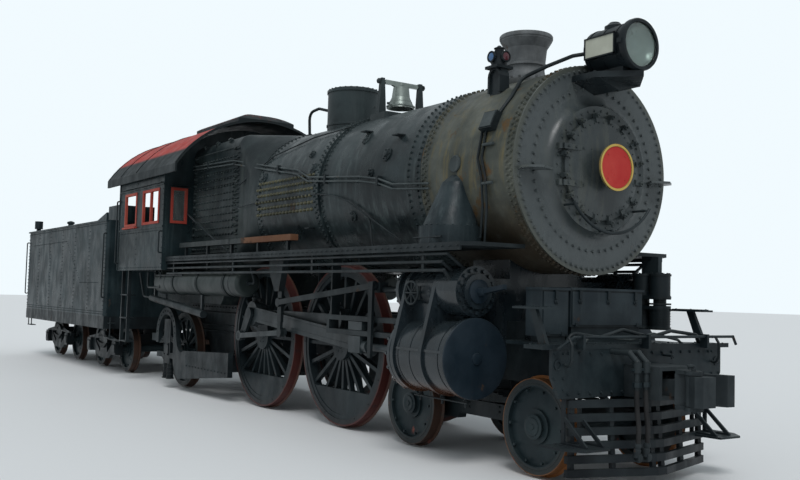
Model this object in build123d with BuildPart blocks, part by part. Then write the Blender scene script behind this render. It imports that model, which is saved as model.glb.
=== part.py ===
from math import atan2, cos, degrees, hypot, radians, sin
import os

from build123d import *

# A 4-4-2 express locomotive with its tender, in millimetres.
# X points forward, Y to the left, Z up; Z = 0 is the tips of the wheel flanges,
# and X = 0 is half way between the two coupler faces.

# Overall layout, along the rails
length_over_couplers = 20100
front_overhang = 5100
rear_overhang = 800
driver_1_x = length_over_couplers / 2 - front_overhang
driver_wheelbase = 2261
driver_2_x = driver_1_x - driver_wheelbase
lead_axle_front_x = driver_1_x + 3640
lead_axle_rear_x = driver_1_x + 1570
lead_pivot_x = (lead_axle_front_x + lead_axle_rear_x) / 2
trailing_axle_x = driver_2_x - 3119
trailing_pivot_x = driver_2_x - 1189

# Wheels and axles
flange_depth = 28
flange_thickness = 32
back_to_back = 1353
tyre_width = 140
tyre_thickness = 80
wheel_inner_y = back_to_back / 2
wheel_outer_y = wheel_inner_y + tyre_width
driver_radius = 1016
lead_radius = 457
trailing_radius = 635
tender_wheel_radius = 457
driver_axle_z = driver_radius + flange_depth
lead_axle_z = lead_radius + flange_depth
trailing_axle_z = trailing_radius + flange_depth
tender_axle_z = tender_wheel_radius + flange_depth
driver_axle_radius = 120
small_axle_radius = 75
journal_radius = 65
bearing_clearance = 5
spoke_count = 20
spoke_width = 46
driver_hub_radius = 190
trailing_spoke_count = 12

# Cranks and rods
crank_radius = 330
crank_pin_radius = 75
pin_clearance = 4
boss_stand_out = 14
rod_gap = 12
side_rod_thickness = 80
side_rod_depth = 130
side_rod_eye_radius = 165
main_rod_thickness = 80
main_rod_depth = 205
wrist_eye_radius = 125
return_crank_thickness = 45
return_crank_throw = 200
eccentric_rod_thickness = 40
eccentric_rod_depth = 70
eccentric_rod_rise = 110
eccentric_pin_radius = 40
side_rod_y = wheel_outer_y + boss_stand_out + rod_gap
main_rod_y = side_rod_y + side_rod_thickness + rod_gap
return_crank_y = main_rod_y + main_rod_thickness + rod_gap
eccentric_rod_y = return_crank_y + return_crank_thickness + rod_gap
link_y = eccentric_rod_y + eccentric_rod_thickness + rod_gap

# Cylinders, valve chests and the guides of the crossheads
cylinder_y = 1127
cylinder_z = 1095
cylinder_rear_x = driver_1_x + 2130
cylinder_front_x = driver_1_x + 3060
cylinder_radius = 375
cylinder_cover_radius = 402
cylinder_cover_thickness = 45
cylinder_cover_lap = 5
gland_radius = 70
gland_length = 130
piston_rod_radius = 45
piston_rod_clearance = 5
stroke = 2 * crank_radius
valve_z = 1758
valve_y = 1110
valve_radius = 215
valve_head_radius = 255
valve_cover_radius = 175
guide_width = 135
guide_thickness = 58
guide_top_z = 1385
guide_bottom_z = 1275
guide_rear_x = cylinder_rear_x - 1860
guide_clearance = 6
crosshead_length = 300
crosshead_mid_x = cylinder_rear_x - 1180
main_rod_length = crosshead_mid_x - driver_2_x

# Boiler
boiler_z = 3028
smokebox_front_x = driver_1_x + 3550
smokebox_rear_x = driver_1_x + 2000
smokebox_radius = 1060
smokebox_wall = 20
course_seam_x = driver_1_x - 270
front_course_radius = 1050
rear_course_radius = 1070
shoulder_front_x = driver_2_x + 111
firebox_front_x = driver_2_x - 639
backhead_x = driver_2_x - 3489
firebox_half_width = 1000
firebox_top_z = 4118
firebox_bottom_z = 1480
firebox_corner = 190
door_ring_radius = 750
door_radius = 520
door_thickness = 30
door_ring_rise = 90
door_rise = 60
dog_count = 16

# Cab
cab_front_x = backhead_x + 1030
cab_rear_x = cab_front_x - 2310
cab_half_width = 1520
cab_wall = 30
cab_bottom_z = 2015
cab_eave_z = 3650
roof_front_x = cab_front_x + 670
roof_rear_x = cab_rear_x - 560
roof_half_width = 1600
roof_crest_z = 4600
roof_thickness = 30
window_bottom_z = 2800
window_top_z = 3400

# Running boards and deck
board_z = 2195
board_thickness = 40
board_inner_y = firebox_half_width + 20
board_front_inner_y = 760
board_outer_y = 1450
board_front_x = driver_1_x + 3400
board_rear_x = cab_front_x
deck_z = 1293
deck_thickness = 35
beam_front_x = driver_1_x + 4240
beam_depth = 440
beam_half_width = 1010
deck_half_width = 1290
deck_inner_half_width = 900
deck_wing_x = beam_front_x - 240
deck_rear_x = driver_1_x + 3300

# Frames
frame_y = 440
frame_thickness = 110
frame_top_z = 1460
frame_bottom_z = 860
frame_rear_bottom_z = 1350
frame_front_x = beam_front_x - 140
frame_rear_x = cab_rear_x - 50

# Tender
tender_front_x = cab_rear_x - 800
tender_rear_x = -length_over_couplers / 2 + rear_overhang
tank_half_width = 1500
tank_bottom_z = 1140
tank_top_z = 3010
tender_sill_depth = 240
tender_truck_base = 1700
tender_truck_xs = (tender_front_x - 1470, tender_rear_x + 1350)
drawbar_z = 1005
drawbar_thickness = 70
drawbar_pin_radius = 40
engine_pin_x = frame_rear_x + 430
tender_pin_x = tender_front_x - 260
coupler_z = 925
coupler_head_length = 350
knuckle_gap = 6

os.makedirs("parts", exist_ok=True)


def across(x):
    """Upright plane across the engine at x, with local axes Y and Z."""
    return Plane(origin=(x, 0, 0), x_dir=(0, 1, 0), z_dir=(1, 0, 0))


def along(y):
    """Upright plane along the engine at y, with local axes X and Z; it extrudes to the right."""
    return Plane(origin=(0, y, 0), x_dir=(1, 0, 0), z_dir=(0, -1, 0))


def level(z):
    """Level plane at height z, with local axes X and Y."""
    return Plane(origin=(0, 0, z), x_dir=(1, 0, 0), z_dir=(0, 0, 1))


def save(part, name):
    """Label a finished piece and write it as its own file."""
    part.label = name
    export_step(part, "parts/" + name + ".step")


def side_plane(side, near_y):
    """Plane of a plate that stands on one side, near_y = (inner, outer) distance from the centre line."""
    return along(-near_y[0]) if side < 0 else along(near_y[1])


def side_plate(near_y, outline=None):
    """Extrude a sketch drawn on side_plane over the plate's thickness."""
    extrude(outline, amount=near_y[1] - near_y[0])


def tyre_pair(x, z, tread_radius):
    """Both tyres of a wheelset, each with its flange on the inner edge."""
    rim_radius = tread_radius - tyre_thickness
    flange_radius = tread_radius + flange_depth
    for side in (1, -1):
        inner = side * wheel_inner_y
        outer = side * wheel_outer_y
        root = side * (wheel_inner_y + flange_thickness)
        crown = side * (wheel_inner_y + flange_thickness / 2)
        with BuildSketch(across(x)) as outline:
            with BuildLine():
                Polyline(
                    (inner, z + rim_radius),
                    (inner, z + flange_radius - flange_depth / 2),
                    (crown, z + flange_radius),
                    (root, z + tread_radius),
                    (outer, z + tread_radius),
                    (outer, z + rim_radius),
                    close=True,
                )
            make_face()
        revolve(outline.sketch, axis=Axis((x, 0, z), (0, 1, 0)))


def axle_bar(x, z, radius, half_length):
    """A round axle across the engine."""
    with BuildSketch(along(half_length)) as outline:
        with Locations((x, z)):
            Circle(radius)
    extrude(outline.sketch, amount=2 * half_length)


def wheel_disc(side, x, z, radius, near_y):
    """A round plate on one side of the engine."""
    with BuildSketch(side_plane(side, near_y)) as outline:
        with Locations((x, z)):
            Circle(radius)
    side_plate(near_y, outline.sketch)


def spokes(side, x, z, inner_radius, outer_radius, count, width, near_y):
    """Straight spokes from the hub to the rim."""
    length = outer_radius - inner_radius
    with BuildSketch(side_plane(side, near_y)) as outline:
        with Locations((x, z)):
            with PolarLocations((outer_radius + inner_radius) / 2, count):
                Rectangle(length, width)
    side_plate(near_y, outline.sketch)


def pipe_run(points, radius):
    """A round bar or pipe through the points, with a ball at each bend."""
    for start, end in zip(points, points[1:]):
        step = Vector(*end) - Vector(*start)
        with BuildSketch(Plane(origin=start, z_dir=step)) as section:
            Circle(radius)
        extrude(section.sketch, amount=step.length)
    for bend in points[1:-1]:
        with Locations(bend):
            Sphere(1.1 * radius)


# Driving wheelsets: spoked centres, crank bosses with their pins, and counterweights.
# Columns: name, axle x, length of the crank pin beyond the boss
driver_table = (
    ("driver_wheelset_1", driver_1_x, rod_gap + side_rod_thickness + 6),
    ("driver_wheelset_2", driver_2_x, return_crank_y - side_rod_y + rod_gap + 1),
)
# Columns: side (1 left, -1 right), crank direction in degrees from forward
crank_table = ((-1, 90), (1, 180))
spoke_inset = 36
counterweight_chord = 560
boss_face_y = wheel_outer_y + boss_stand_out


def crank_point(axle_x, angle, radius=crank_radius):
    """Place of a crank pin, as local X and Z."""
    return (axle_x + radius * cos(radians(angle)), driver_axle_z + radius * sin(radians(angle)))


for name, axle_x, pin_length in driver_table:
    with BuildPart() as driver_wheelset:
        tyre_pair(axle_x, driver_axle_z, driver_radius)
        axle_bar(axle_x, driver_axle_z, driver_axle_radius, wheel_inner_y + 60)
        rim_outer = driver_radius - tyre_thickness
        rim_inner = rim_outer - 60
        centre_y = (wheel_inner_y + spoke_inset, wheel_outer_y - spoke_inset)
        for side, angle in crank_table:
            with BuildSketch(side_plane(side, (wheel_inner_y + 15, wheel_outer_y - 8))):
                with Locations((axle_x, driver_axle_z)):
                    Circle(rim_outer + 1)
                    Circle(rim_inner, mode=Mode.SUBTRACT)
            side_plate((wheel_inner_y + 15, wheel_outer_y - 8))
            spokes(side, axle_x, driver_axle_z, driver_hub_radius - 20, rim_inner + 10,
                   spoke_count, spoke_width, centre_y)
            pin = crank_point(axle_x, angle)
            with BuildSketch(side_plane(side, (wheel_inner_y, boss_face_y))):
                with Locations((axle_x, driver_axle_z)):
                    Circle(driver_hub_radius)
                with Locations(pin):
                    Circle(crank_pin_radius + 55)
                make_hull()
            side_plate((wheel_inner_y, boss_face_y))
            with BuildSketch(side_plane(side, (boss_face_y, boss_face_y + pin_length))):
                with Locations(pin):
                    Circle(crank_pin_radius)
            side_plate((boss_face_y, boss_face_y + pin_length))
            with BuildSketch(side_plane(side, (wheel_inner_y + 20, wheel_outer_y - 14))):
                with Locations((axle_x, driver_axle_z)):
                    Circle(rim_inner + 5)
                    with Locations(Location((0, 0), angle)):
                        with Locations((rim_outer - counterweight_chord, 0)):
                            Rectangle(2 * rim_outer, 2 * rim_outer, mode=Mode.SUBTRACT)
            side_plate((wheel_inner_y + 20, wheel_outer_y - 14))
            if name == "driver_wheelset_2":
                tip_angle = 180 if side < 0 else 270
                tip = crank_point(axle_x, tip_angle, return_crank_throw)
                arm_y = (return_crank_y, return_crank_y + return_crank_thickness)
                with BuildSketch(side_plane(side, arm_y)):
                    with Locations(pin):
                        Circle(crank_pin_radius + 15)
                    with Locations(tip):
                        Circle(eccentric_pin_radius + 25)
                    make_hull()
                side_plate(arm_y)
                tip_y = (return_crank_y, eccentric_rod_y + eccentric_rod_thickness)
                with BuildSketch(side_plane(side, tip_y)):
                    with Locations(tip):
                        Circle(eccentric_pin_radius)
                side_plate(tip_y)
    save(driver_wheelset.part, name)

# Plain wheelsets. Columns: name, axle x, tread radius, spokes (0 is a disc wheel), half length of the axle
plain_table = (
    ("lead_wheelset_1", lead_axle_front_x, lead_radius, 0, wheel_inner_y + 10),
    ("lead_wheelset_2", lead_axle_rear_x, lead_radius, 0, wheel_inner_y + 10),
    ("trailing_wheelset", trailing_axle_x, trailing_radius, trailing_spoke_count, 1120),
    ("tender_wheelset_1", tender_truck_xs[0] + tender_truck_base / 2, tender_wheel_radius, 0, 1060),
    ("tender_wheelset_2", tender_truck_xs[0] - tender_truck_base / 2, tender_wheel_radius, 0, 1060),
    ("tender_wheelset_3", tender_truck_xs[1] + tender_truck_base / 2, tender_wheel_radius, 0, 1060),
    ("tender_wheelset_4", tender_truck_xs[1] - tender_truck_base / 2, tender_wheel_radius, 0, 1060),
)
disc_inset = 45
plain_hub_radius = small_axle_radius + 30
hub_stand_out = 14
for name, axle_x, tread, spoke_total, half_axle in plain_table:
    axle_z = tread + flange_depth
    with BuildPart() as plain_wheelset:
        tyre_pair(axle_x, axle_z, tread)
        axle_bar(axle_x, axle_z, small_axle_radius, wheel_inner_y + 30)
        if half_axle > wheel_outer_y:
            axle_bar(axle_x, axle_z, journal_radius, half_axle)
        web_y = (wheel_inner_y + disc_inset, wheel_outer_y - disc_inset)
        for side in (1, -1):
            wheel_disc(side, axle_x, axle_z, plain_hub_radius, (wheel_inner_y, wheel_outer_y + hub_stand_out))
            wheel_disc(side, axle_x, axle_z, plain_hub_radius + 60, (wheel_inner_y + 20, wheel_outer_y - 20))
            if spoke_total:
                spokes(side, axle_x, axle_z, small_axle_radius, tread - tyre_thickness - 30,
                       spoke_total, spoke_width, web_y)
                with BuildSketch(side_plane(side, web_y)):
                    with Locations((axle_x, axle_z)):
                        Circle(tread - tyre_thickness + 1)
                        Circle(tread - tyre_thickness - 45, mode=Mode.SUBTRACT)
                side_plate(web_y)
            else:
                wheel_disc(side, axle_x, axle_z, tread - tyre_thickness + 1, web_y)
    save(plain_wheelset.part, name)


def rod(side, near_y, start, end, depth, start_radius, end_radius, bore_start, bore_end):
    """A flat rod between two eyes, on one side of the engine."""
    length = hypot(end[0] - start[0], end[1] - start[1])
    slope = degrees(atan2(end[1] - start[1], end[0] - start[0]))
    middle = ((start[0] + end[0]) / 2, (start[1] + end[1]) / 2)
    with BuildSketch(side_plane(side, near_y)) as outline:
        with Locations(Location(middle, slope)):
            Rectangle(length, depth)
        with Locations(start):
            Circle(start_radius)
        with Locations(end):
            Circle(end_radius)
        if bore_start:
            with Locations(start):
                Circle(bore_start, mode=Mode.SUBTRACT)
        if bore_end:
            with Locations(end):
                Circle(bore_end, mode=Mode.SUBTRACT)
    side_plate(near_y, outline.sketch)


# Rods of each side: side rod between the drivers, main rod to the crosshead,
# eccentric rod from the return crank to the foot of the link.
# Columns: side, name ending, crank direction, direction of the return crank's pin
rod_table = ((-1, "right", 90, 180), (1, "left", 180, 270))
link_x = driver_2_x + 1201
link_z = 1560
bore = crank_pin_radius + pin_clearance
for side, ending, angle, return_angle in rod_table:
    pin_1 = crank_point(driver_1_x, angle)
    pin_2 = crank_point(driver_2_x, angle)
    with BuildPart() as side_rod:
        rod(side, (side_rod_y, side_rod_y + side_rod_thickness), pin_1, pin_2, side_rod_depth,
            side_rod_eye_radius, side_rod_eye_radius, bore, bore)
    save(side_rod.part, "side_rod_" + ending)

    wrist_drop = cylinder_z - pin_2[1]
    wrist = (pin_2[0] + (main_rod_length ** 2 - wrist_drop ** 2) ** 0.5, cylinder_z)
    with BuildPart() as main_rod:
        rod(side, (main_rod_y, main_rod_y + main_rod_thickness), pin_2, wrist, main_rod_depth,
            side_rod_eye_radius + 15, wrist_eye_radius, bore, 0)
    save(main_rod.part, "main_rod_" + ending)

    eye = crank_point(driver_2_x, return_angle, return_crank_throw)
    foot = (link_x, driver_axle_z + eccentric_rod_rise)
    with BuildPart() as eccentric_rod:
        rod(side, (eccentric_rod_y, eccentric_rod_y + eccentric_rod_thickness), eye, foot,
            eccentric_rod_depth, 75, 65, eccentric_pin_radius + pin_clearance, 0)
    save(eccentric_rod.part, "eccentric_rod_" + ending)

    # Crosshead: a shoe between the guide bars, a body below them, and the piston rod.
    shoe_y = (cylinder_y - guide_width / 2, cylinder_y + guide_width / 2)
    web_y = (cylinder_y - 18, cylinder_y + 18)
    body_y = (cylinder_y - 75, cylinder_y + 75)
    body_top = guide_bottom_z - guide_thickness - guide_clearance
    with BuildPart() as crosshead:
        with BuildSketch(side_plane(side, shoe_y)):
            with Locations((wrist[0], (guide_top_z + guide_bottom_z) / 2)):
                Rectangle(crosshead_length, guide_top_z - guide_bottom_z - 2 * guide_clearance)
        side_plate(shoe_y)
        with BuildSketch(side_plane(side, web_y)):
            with Locations((wrist[0], (cylinder_z + guide_top_z) / 2 - 30)):
                Rectangle(crosshead_length - 60, guide_top_z - cylinder_z - 60)
        side_plate(web_y)
        with BuildSketch(side_plane(side, body_y)):
            with Locations((wrist[0], (body_top + cylinder_z - 80) / 2)):
                Rectangle(crosshead_length - 40, body_top - cylinder_z + 80)
        side_plate(body_y)
        with BuildSketch(across(wrist[0])):
            with Locations((side * cylinder_y, cylinder_z)):
                Circle(piston_rod_radius)
        extrude(amount=crosshead_length / 2 + 1380)
        with BuildSketch(across(wrist[0] + crosshead_length / 2 - 40)):
            with Locations((side * cylinder_y, cylinder_z)):
                Circle(piston_rod_radius + 25)
        extrude(amount=110)
    save(crosshead.part, "crosshead_" + ending)

# Main frame: two side frames open below for the axles, with cross ties.
pedestal_half_width = driver_axle_radius + 12
waist_sheet_xs = ((driver_1_x + driver_2_x) / 2, driver_1_x + 1350)
waist_sheet_thickness = 25
cross_tie_thickness = 60
rear_frame_step_x = driver_2_x - 1250
with BuildPart() as main_frame:
    frame_side_y = (frame_y, frame_y + frame_thickness)
    with BuildSketch(side_plane(-1, frame_side_y)):
        with BuildLine():
            Polyline(
                (frame_front_x, frame_bottom_z),
                (frame_front_x, frame_top_z - 210),
                (cylinder_front_x, frame_top_z - 210),
                (cylinder_front_x, frame_top_z),
                (frame_rear_x, frame_top_z),
                (frame_rear_x, frame_rear_bottom_z),
                (rear_frame_step_x, frame_rear_bottom_z),
                (driver_2_x - 700, frame_bottom_z),
                close=True,
            )
        make_face()
        for axle_x in (driver_1_x, driver_2_x):
            slot_top = driver_axle_z + driver_axle_radius + 12
            with Locations((axle_x, (slot_top + frame_bottom_z) / 2)):
                Rectangle(2 * pedestal_half_width, slot_top - frame_bottom_z, mode=Mode.SUBTRACT)
        for window_x in (driver_1_x - driver_wheelbase / 2, driver_1_x + 1000):
            with Locations((window_x, frame_bottom_z + 300)):
                RectangleRounded(900, 260, 60, mode=Mode.SUBTRACT)
    side_plate(frame_side_y)
    mirror(about=Plane.XZ)
    for tie_x in (frame_rear_x + 400, rear_frame_step_x + 60, (driver_1_x + driver_2_x) / 2, driver_1_x + 1500):
        tie_low = frame_rear_bottom_z if tie_x < rear_frame_step_x + 300 else frame_top_z - 200
        with BuildSketch(across(tie_x)):
            with Locations((0, (tie_low + frame_top_z) / 2)):
                Rectangle(2 * frame_y + 20, frame_top_z - tie_low)
        extrude(amount=cross_tie_thickness)
    with BuildSketch(level(frame_rear_bottom_z)):
        with Locations((trailing_pivot_x, 0)):
            Rectangle(400, 2 * frame_y + 20)
    extrude(amount=60)
    with BuildSketch(level(frame_rear_bottom_z)):
        with Locations((trailing_pivot_x, 0)):
            Circle(110)
    extrude(amount=-(frame_rear_bottom_z - 700))
    with BuildSketch(level(frame_rear_bottom_z)):
        with Locations((trailing_pivot_x, 0)):
            Circle(60)
    extrude(amount=-(frame_rear_bottom_z - 450))
    with BuildSketch(level(drawbar_z + drawbar_thickness + 30)):
        with Locations((engine_pin_x, 0)):
            Rectangle(300, 500)
    extrude(amount=frame_rear_bottom_z - drawbar_z - drawbar_thickness + 20)
    with BuildSketch(level(drawbar_z - 40)):
        with Locations((engine_pin_x, 0)):
            Circle(drawbar_pin_radius)
    extrude(amount=drawbar_thickness + 80)
    for sheet_x in waist_sheet_xs:
        with BuildSketch(across(sheet_x)):
            with Locations((0, frame_top_z + 300)):
                Rectangle(2 * (frame_y + frame_thickness), 600)
            with Locations((0, boiler_z)):
                Circle(front_course_radius if sheet_x > course_seam_x else rear_course_radius,
                       mode=Mode.SUBTRACT)
        extrude(amount=waist_sheet_thickness)
save(main_frame.part, "main_frame")

# Cylinders: the saddle under the smokebox, with both cylinders and both valve chests in one casting group.
saddle_half_width = 520
saddle_x = ((cylinder_rear_x + cylinder_front_x) / 2, 620)
piston_bore_depth = stroke + 170
valve_rear_x = cylinder_rear_x - 130
valve_front_x = cylinder_front_x + 20
valve_cover_rise = 40
valve_gland_length = 120
casting_flange_thickness = 55
casting_flange_xs = (cylinder_rear_x + 60, cylinder_front_x - 370)
passage_width = 300
lead_pin_high_z = 900
lead_pin_length = 420
lead_pin_radius = 60
# Columns: centre y and z, start x, end x, radius
cylinder_table = (
    (cylinder_y, cylinder_z, cylinder_rear_x, cylinder_front_x, cylinder_radius),
    (cylinder_y, cylinder_z, cylinder_rear_x, cylinder_rear_x + 50, cylinder_cover_radius),
    (cylinder_y, cylinder_z, cylinder_front_x - cylinder_cover_lap,
     cylinder_front_x + cylinder_cover_thickness, cylinder_cover_radius),
    (cylinder_y, cylinder_z, cylinder_rear_x - gland_length, cylinder_rear_x, gland_radius),
    (valve_y, valve_z, valve_rear_x, valve_front_x, valve_radius),
    (valve_y, valve_z, valve_rear_x + 30, valve_rear_x + 80, valve_head_radius),
    (valve_y, valve_z, casting_flange_xs[1], valve_front_x, valve_head_radius),
    (valve_y, valve_z, valve_front_x, valve_front_x + valve_cover_rise, valve_cover_radius),
    (valve_y, valve_z, valve_rear_x - valve_gland_length, valve_rear_x, 90),
)
with BuildPart() as cylinders:
    for side in (1, -1):
        for centre_y, centre_z, start, end, radius in cylinder_table:
            with BuildSketch(across(start)):
                with Locations((side * centre_y, centre_z)):
                    Circle(radius)
            extrude(amount=end - start)
        for flange_x in casting_flange_xs:
            with BuildSketch(across(flange_x)):
                with Locations((side * valve_y, valve_z)):
                    Circle(valve_head_radius)
                with Locations((side * cylinder_y, cylinder_z)):
                    Circle(cylinder_cover_radius)
                make_hull()
            extrude(amount=casting_flange_thickness)
        with BuildSketch(across(casting_flange_xs[0])):
            with Locations((side * cylinder_y, (cylinder_z + valve_z) / 2)):
                Rectangle(passage_width, valve_z - cylinder_z)
        extrude(amount=casting_flange_xs[1] - casting_flange_xs[0])
        with BuildSketch(across(saddle_x[0] - saddle_x[1] / 2)):
            with Locations((side * (frame_y + frame_thickness + cylinder_y) / 2, 1230)):
                Rectangle(cylinder_y - frame_y - frame_thickness, 460)
        extrude(amount=saddle_x[1])
    with BuildSketch(across(saddle_x[0] - saddle_x[1] / 2)):
        with Locations((0, (frame_top_z + 1900) / 2)):
            Rectangle(2 * cylinder_y, 1900 - frame_top_z)
        with Locations((0, 1180)):
            Rectangle(2 * frame_y, 560)
        with Locations((0, 2000)):
            Rectangle(2 * saddle_half_width, 260)
        with Locations((0, boiler_z)):
            Circle(smokebox_radius, mode=Mode.SUBTRACT)
    extrude(amount=saddle_x[1])
    with BuildSketch(level(lead_pin_high_z)):
        with Locations((lead_pivot_x, 0)):
            Circle(lead_pin_radius)
    extrude(amount=-lead_pin_length)
    for side in (1, -1):
        with BuildSketch(across(cylinder_rear_x - gland_length)):
            with Locations((side * cylinder_y, cylinder_z)):
                Circle(piston_rod_radius + piston_rod_clearance)
        extrude(amount=gland_length + piston_bore_depth, mode=Mode.SUBTRACT)
save(cylinders.part, "cylinders")

# Smokebox: an open steel drum on the saddle.
with BuildPart() as smokebox:
    with BuildSketch(across(smokebox_rear_x)):
        with Locations((0, boiler_z)):
            Circle(smokebox_radius)
            Circle(smokebox_radius - smokebox_wall, mode=Mode.SUBTRACT)
    extrude(amount=smokebox_front_x - smokebox_rear_x)
save(smokebox.part, "smokebox")

# Smokebox front: a flat ring with a dished centre around the door opening.
front_plate = 20
front_rim = 12
step_plate_z = boiler_z - 75
step_plate_thickness = 22
# Columns: reach forward of the front plate, distance from the centre line
step_plate_table = ((0, 800), (0, 1030), (140, 1030), (230, 900), (150, 700))
door_hinge_y = -door_radius - 55
with BuildPart() as smokebox_front:
    with BuildSketch(Plane.XZ):
        with BuildLine():
            Polyline(
                (smokebox_front_x, boiler_z + smokebox_radius + front_rim),
                (smokebox_front_x + front_plate, boiler_z + smokebox_radius + front_rim),
                (smokebox_front_x + front_plate, boiler_z + door_ring_radius + 20),
            )
            ThreePointArc(
                (smokebox_front_x + front_plate, boiler_z + door_ring_radius + 20),
                (smokebox_front_x + front_plate + door_ring_rise * 0.35, boiler_z + door_ring_radius - 62),
                (smokebox_front_x + front_plate + door_ring_rise, boiler_z + door_ring_radius - 105),
            )
            Polyline(
                (smokebox_front_x + front_plate + door_ring_rise, boiler_z + door_ring_radius - 105),
                (smokebox_front_x + front_plate + door_ring_rise, boiler_z + door_radius - 40),
                (smokebox_front_x + door_ring_rise, boiler_z + door_radius - 40),
                (smokebox_front_x + door_ring_rise, boiler_z + door_ring_radius - 150),
                (smokebox_front_x, boiler_z + door_ring_radius - 40),
                (smokebox_front_x, boiler_z + smokebox_radius + front_rim),
            )
        make_face()
    revolve(axis=Axis((0, 0, boiler_z), (1, 0, 0)))
    hinge_plane_x = smokebox_front_x + front_plate + door_ring_rise
    for hinge_z in (boiler_z - 180, boiler_z + 180):
        with BuildSketch(level(hinge_z - 30)):
            with Locations((hinge_plane_x + 25, door_hinge_y)):
                Circle(24)
            with Locations((hinge_plane_x + 10, door_hinge_y)):
                Rectangle(26, 48)
        extrude(amount=60)
    for side in (1, -1):
        with BuildSketch(level(step_plate_z)):
            with BuildLine():
                Polyline(*[(smokebox_front_x + front_plate + reach, side * out)
                           for reach, out in step_plate_table],
                         close=True)
            make_face()
        extrude(amount=step_plate_thickness)
save(smokebox_front.part, "smokebox_front")

# Smokebox door with its clamping dogs, hinge straps and the blank plate's post.
door_back_x = smokebox_front_x + front_plate + door_ring_rise + 2
plate_x = driver_1_x + 3870
plate_radius = 235
with BuildPart() as smokebox_door:
    with BuildSketch(Plane.XZ):
        with BuildLine():
            Line((door_back_x, boiler_z), (door_back_x, boiler_z + door_radius))
            Line((door_back_x, boiler_z + door_radius), (door_back_x + door_thickness, boiler_z + door_radius))
            ThreePointArc(
                (door_back_x + door_thickness, boiler_z + door_radius),
                (door_back_x + door_thickness + door_rise * 0.75, boiler_z + door_radius / 2),
                (door_back_x + door_thickness + door_rise, boiler_z),
            )
            Line((door_back_x + door_thickness + door_rise, boiler_z), (door_back_x, boiler_z))
        make_face()
    revolve(axis=Axis((0, 0, boiler_z), (1, 0, 0)))
    with BuildSketch(across(door_back_x + 5)):
        with Locations((0, boiler_z)):
            with PolarLocations(door_radius + 5, dog_count, start_angle=180 / dog_count):
                Rectangle(90, 46)
    extrude(amount=50)
    with BuildSketch(across(door_back_x + 40)):
        with Locations((0, boiler_z)):
            Circle(60)
    extrude(amount=plate_x - door_back_x - 40)
save(smokebox_door.part, "smokebox_door")

# Blank round plate on the door's post.
with BuildPart() as number_plate:
    with BuildSketch(across(plate_x)):
        with Locations((0, boiler_z)):
            Circle(plate_radius)
    extrude(amount=14)
    with BuildSketch(across(plate_x + 14)):
        with Locations((0, boiler_z)):
            Circle(plate_radius)
            Circle(plate_radius - 22, mode=Mode.SUBTRACT)
    extrude(amount=8)
save(number_plate.part, "number_plate")

# Boiler barrel: two courses with lap seams, closed at the front by the tube sheet.
seam_width = 130
seam_rise = 12
with BuildPart() as boiler_barrel:
    for start, end, radius in (
        (course_seam_x, smokebox_rear_x, front_course_radius),
        (smokebox_rear_x - 260, smokebox_rear_x, front_course_radius + seam_rise),
        (shoulder_front_x, course_seam_x, rear_course_radius),
        (course_seam_x - seam_width, course_seam_x, rear_course_radius + seam_rise),
    ):
        with BuildSketch(across(start)):
            with Locations((0, boiler_z)):
                Circle(radius)
        extrude(amount=end - start)
save(boiler_barrel.part, "boiler_barrel")

# Firebox: square-topped wrapper, lofted forward into the round barrel.
firebox_height = firebox_top_z - firebox_bottom_z
shoulder_bottom_z = 2100
throat_length = 520
with BuildPart() as firebox:
    with BuildSketch(across(backhead_x)):
        with Locations((0, (firebox_top_z + firebox_bottom_z) / 2)):
            Rectangle(2 * firebox_half_width, firebox_height)
        fillet(vertices().group_by(Axis.Y)[-1], radius=firebox_corner)
    extrude(amount=firebox_front_x - backhead_x)
    with BuildSketch(along(firebox_half_width + 10)):
        with BuildLine():
            Polyline(
                (firebox_front_x - throat_length, firebox_bottom_z - 10),
                (firebox_front_x + 10, shoulder_bottom_z),
                (firebox_front_x + 10, firebox_bottom_z - 10),
                close=True,
            )
        make_face()
    extrude(amount=2 * firebox_half_width + 20, mode=Mode.SUBTRACT)
    with BuildSketch(across(firebox_front_x)):
        with Locations((0, (firebox_top_z + shoulder_bottom_z) / 2)):
            RectangleRounded(2 * firebox_half_width, firebox_top_z - shoulder_bottom_z, firebox_corner)
    with BuildSketch(across(shoulder_front_x)):
        with Locations((0, boiler_z)):
            RectangleRounded(2 * rear_course_radius - 10, 2 * rear_course_radius - 10, rear_course_radius - 40)
    loft()
save(firebox.part, "firebox")

# Steam dome, with its bolted lid.
dome_x = (shoulder_front_x + course_seam_x) / 2
dome_radius = 380
dome_top_z = 4640
with BuildPart() as steam_dome:
    with BuildSketch(level(boiler_z + 700)):
        with Locations((dome_x, 0)):
            Circle(dome_radius)
    extrude(amount=dome_top_z - 60 - boiler_z - 700)
    with BuildSketch(level(dome_top_z - 60)):
        with Locations((dome_x, 0)):
            Circle(dome_radius + 14)
    extrude(amount=35)
    with BuildSketch(level(dome_top_z - 25)):
        with Locations((dome_x, 0)):
            Circle(dome_radius - 20)
    extrude(amount=25, taper=30)
    with BuildSketch(across(shoulder_front_x)):
        with Locations((0, boiler_z)):
            Circle(rear_course_radius)
    extrude(amount=course_seam_x - shoulder_front_x, mode=Mode.SUBTRACT)
save(steam_dome.part, "steam_dome")

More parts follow.
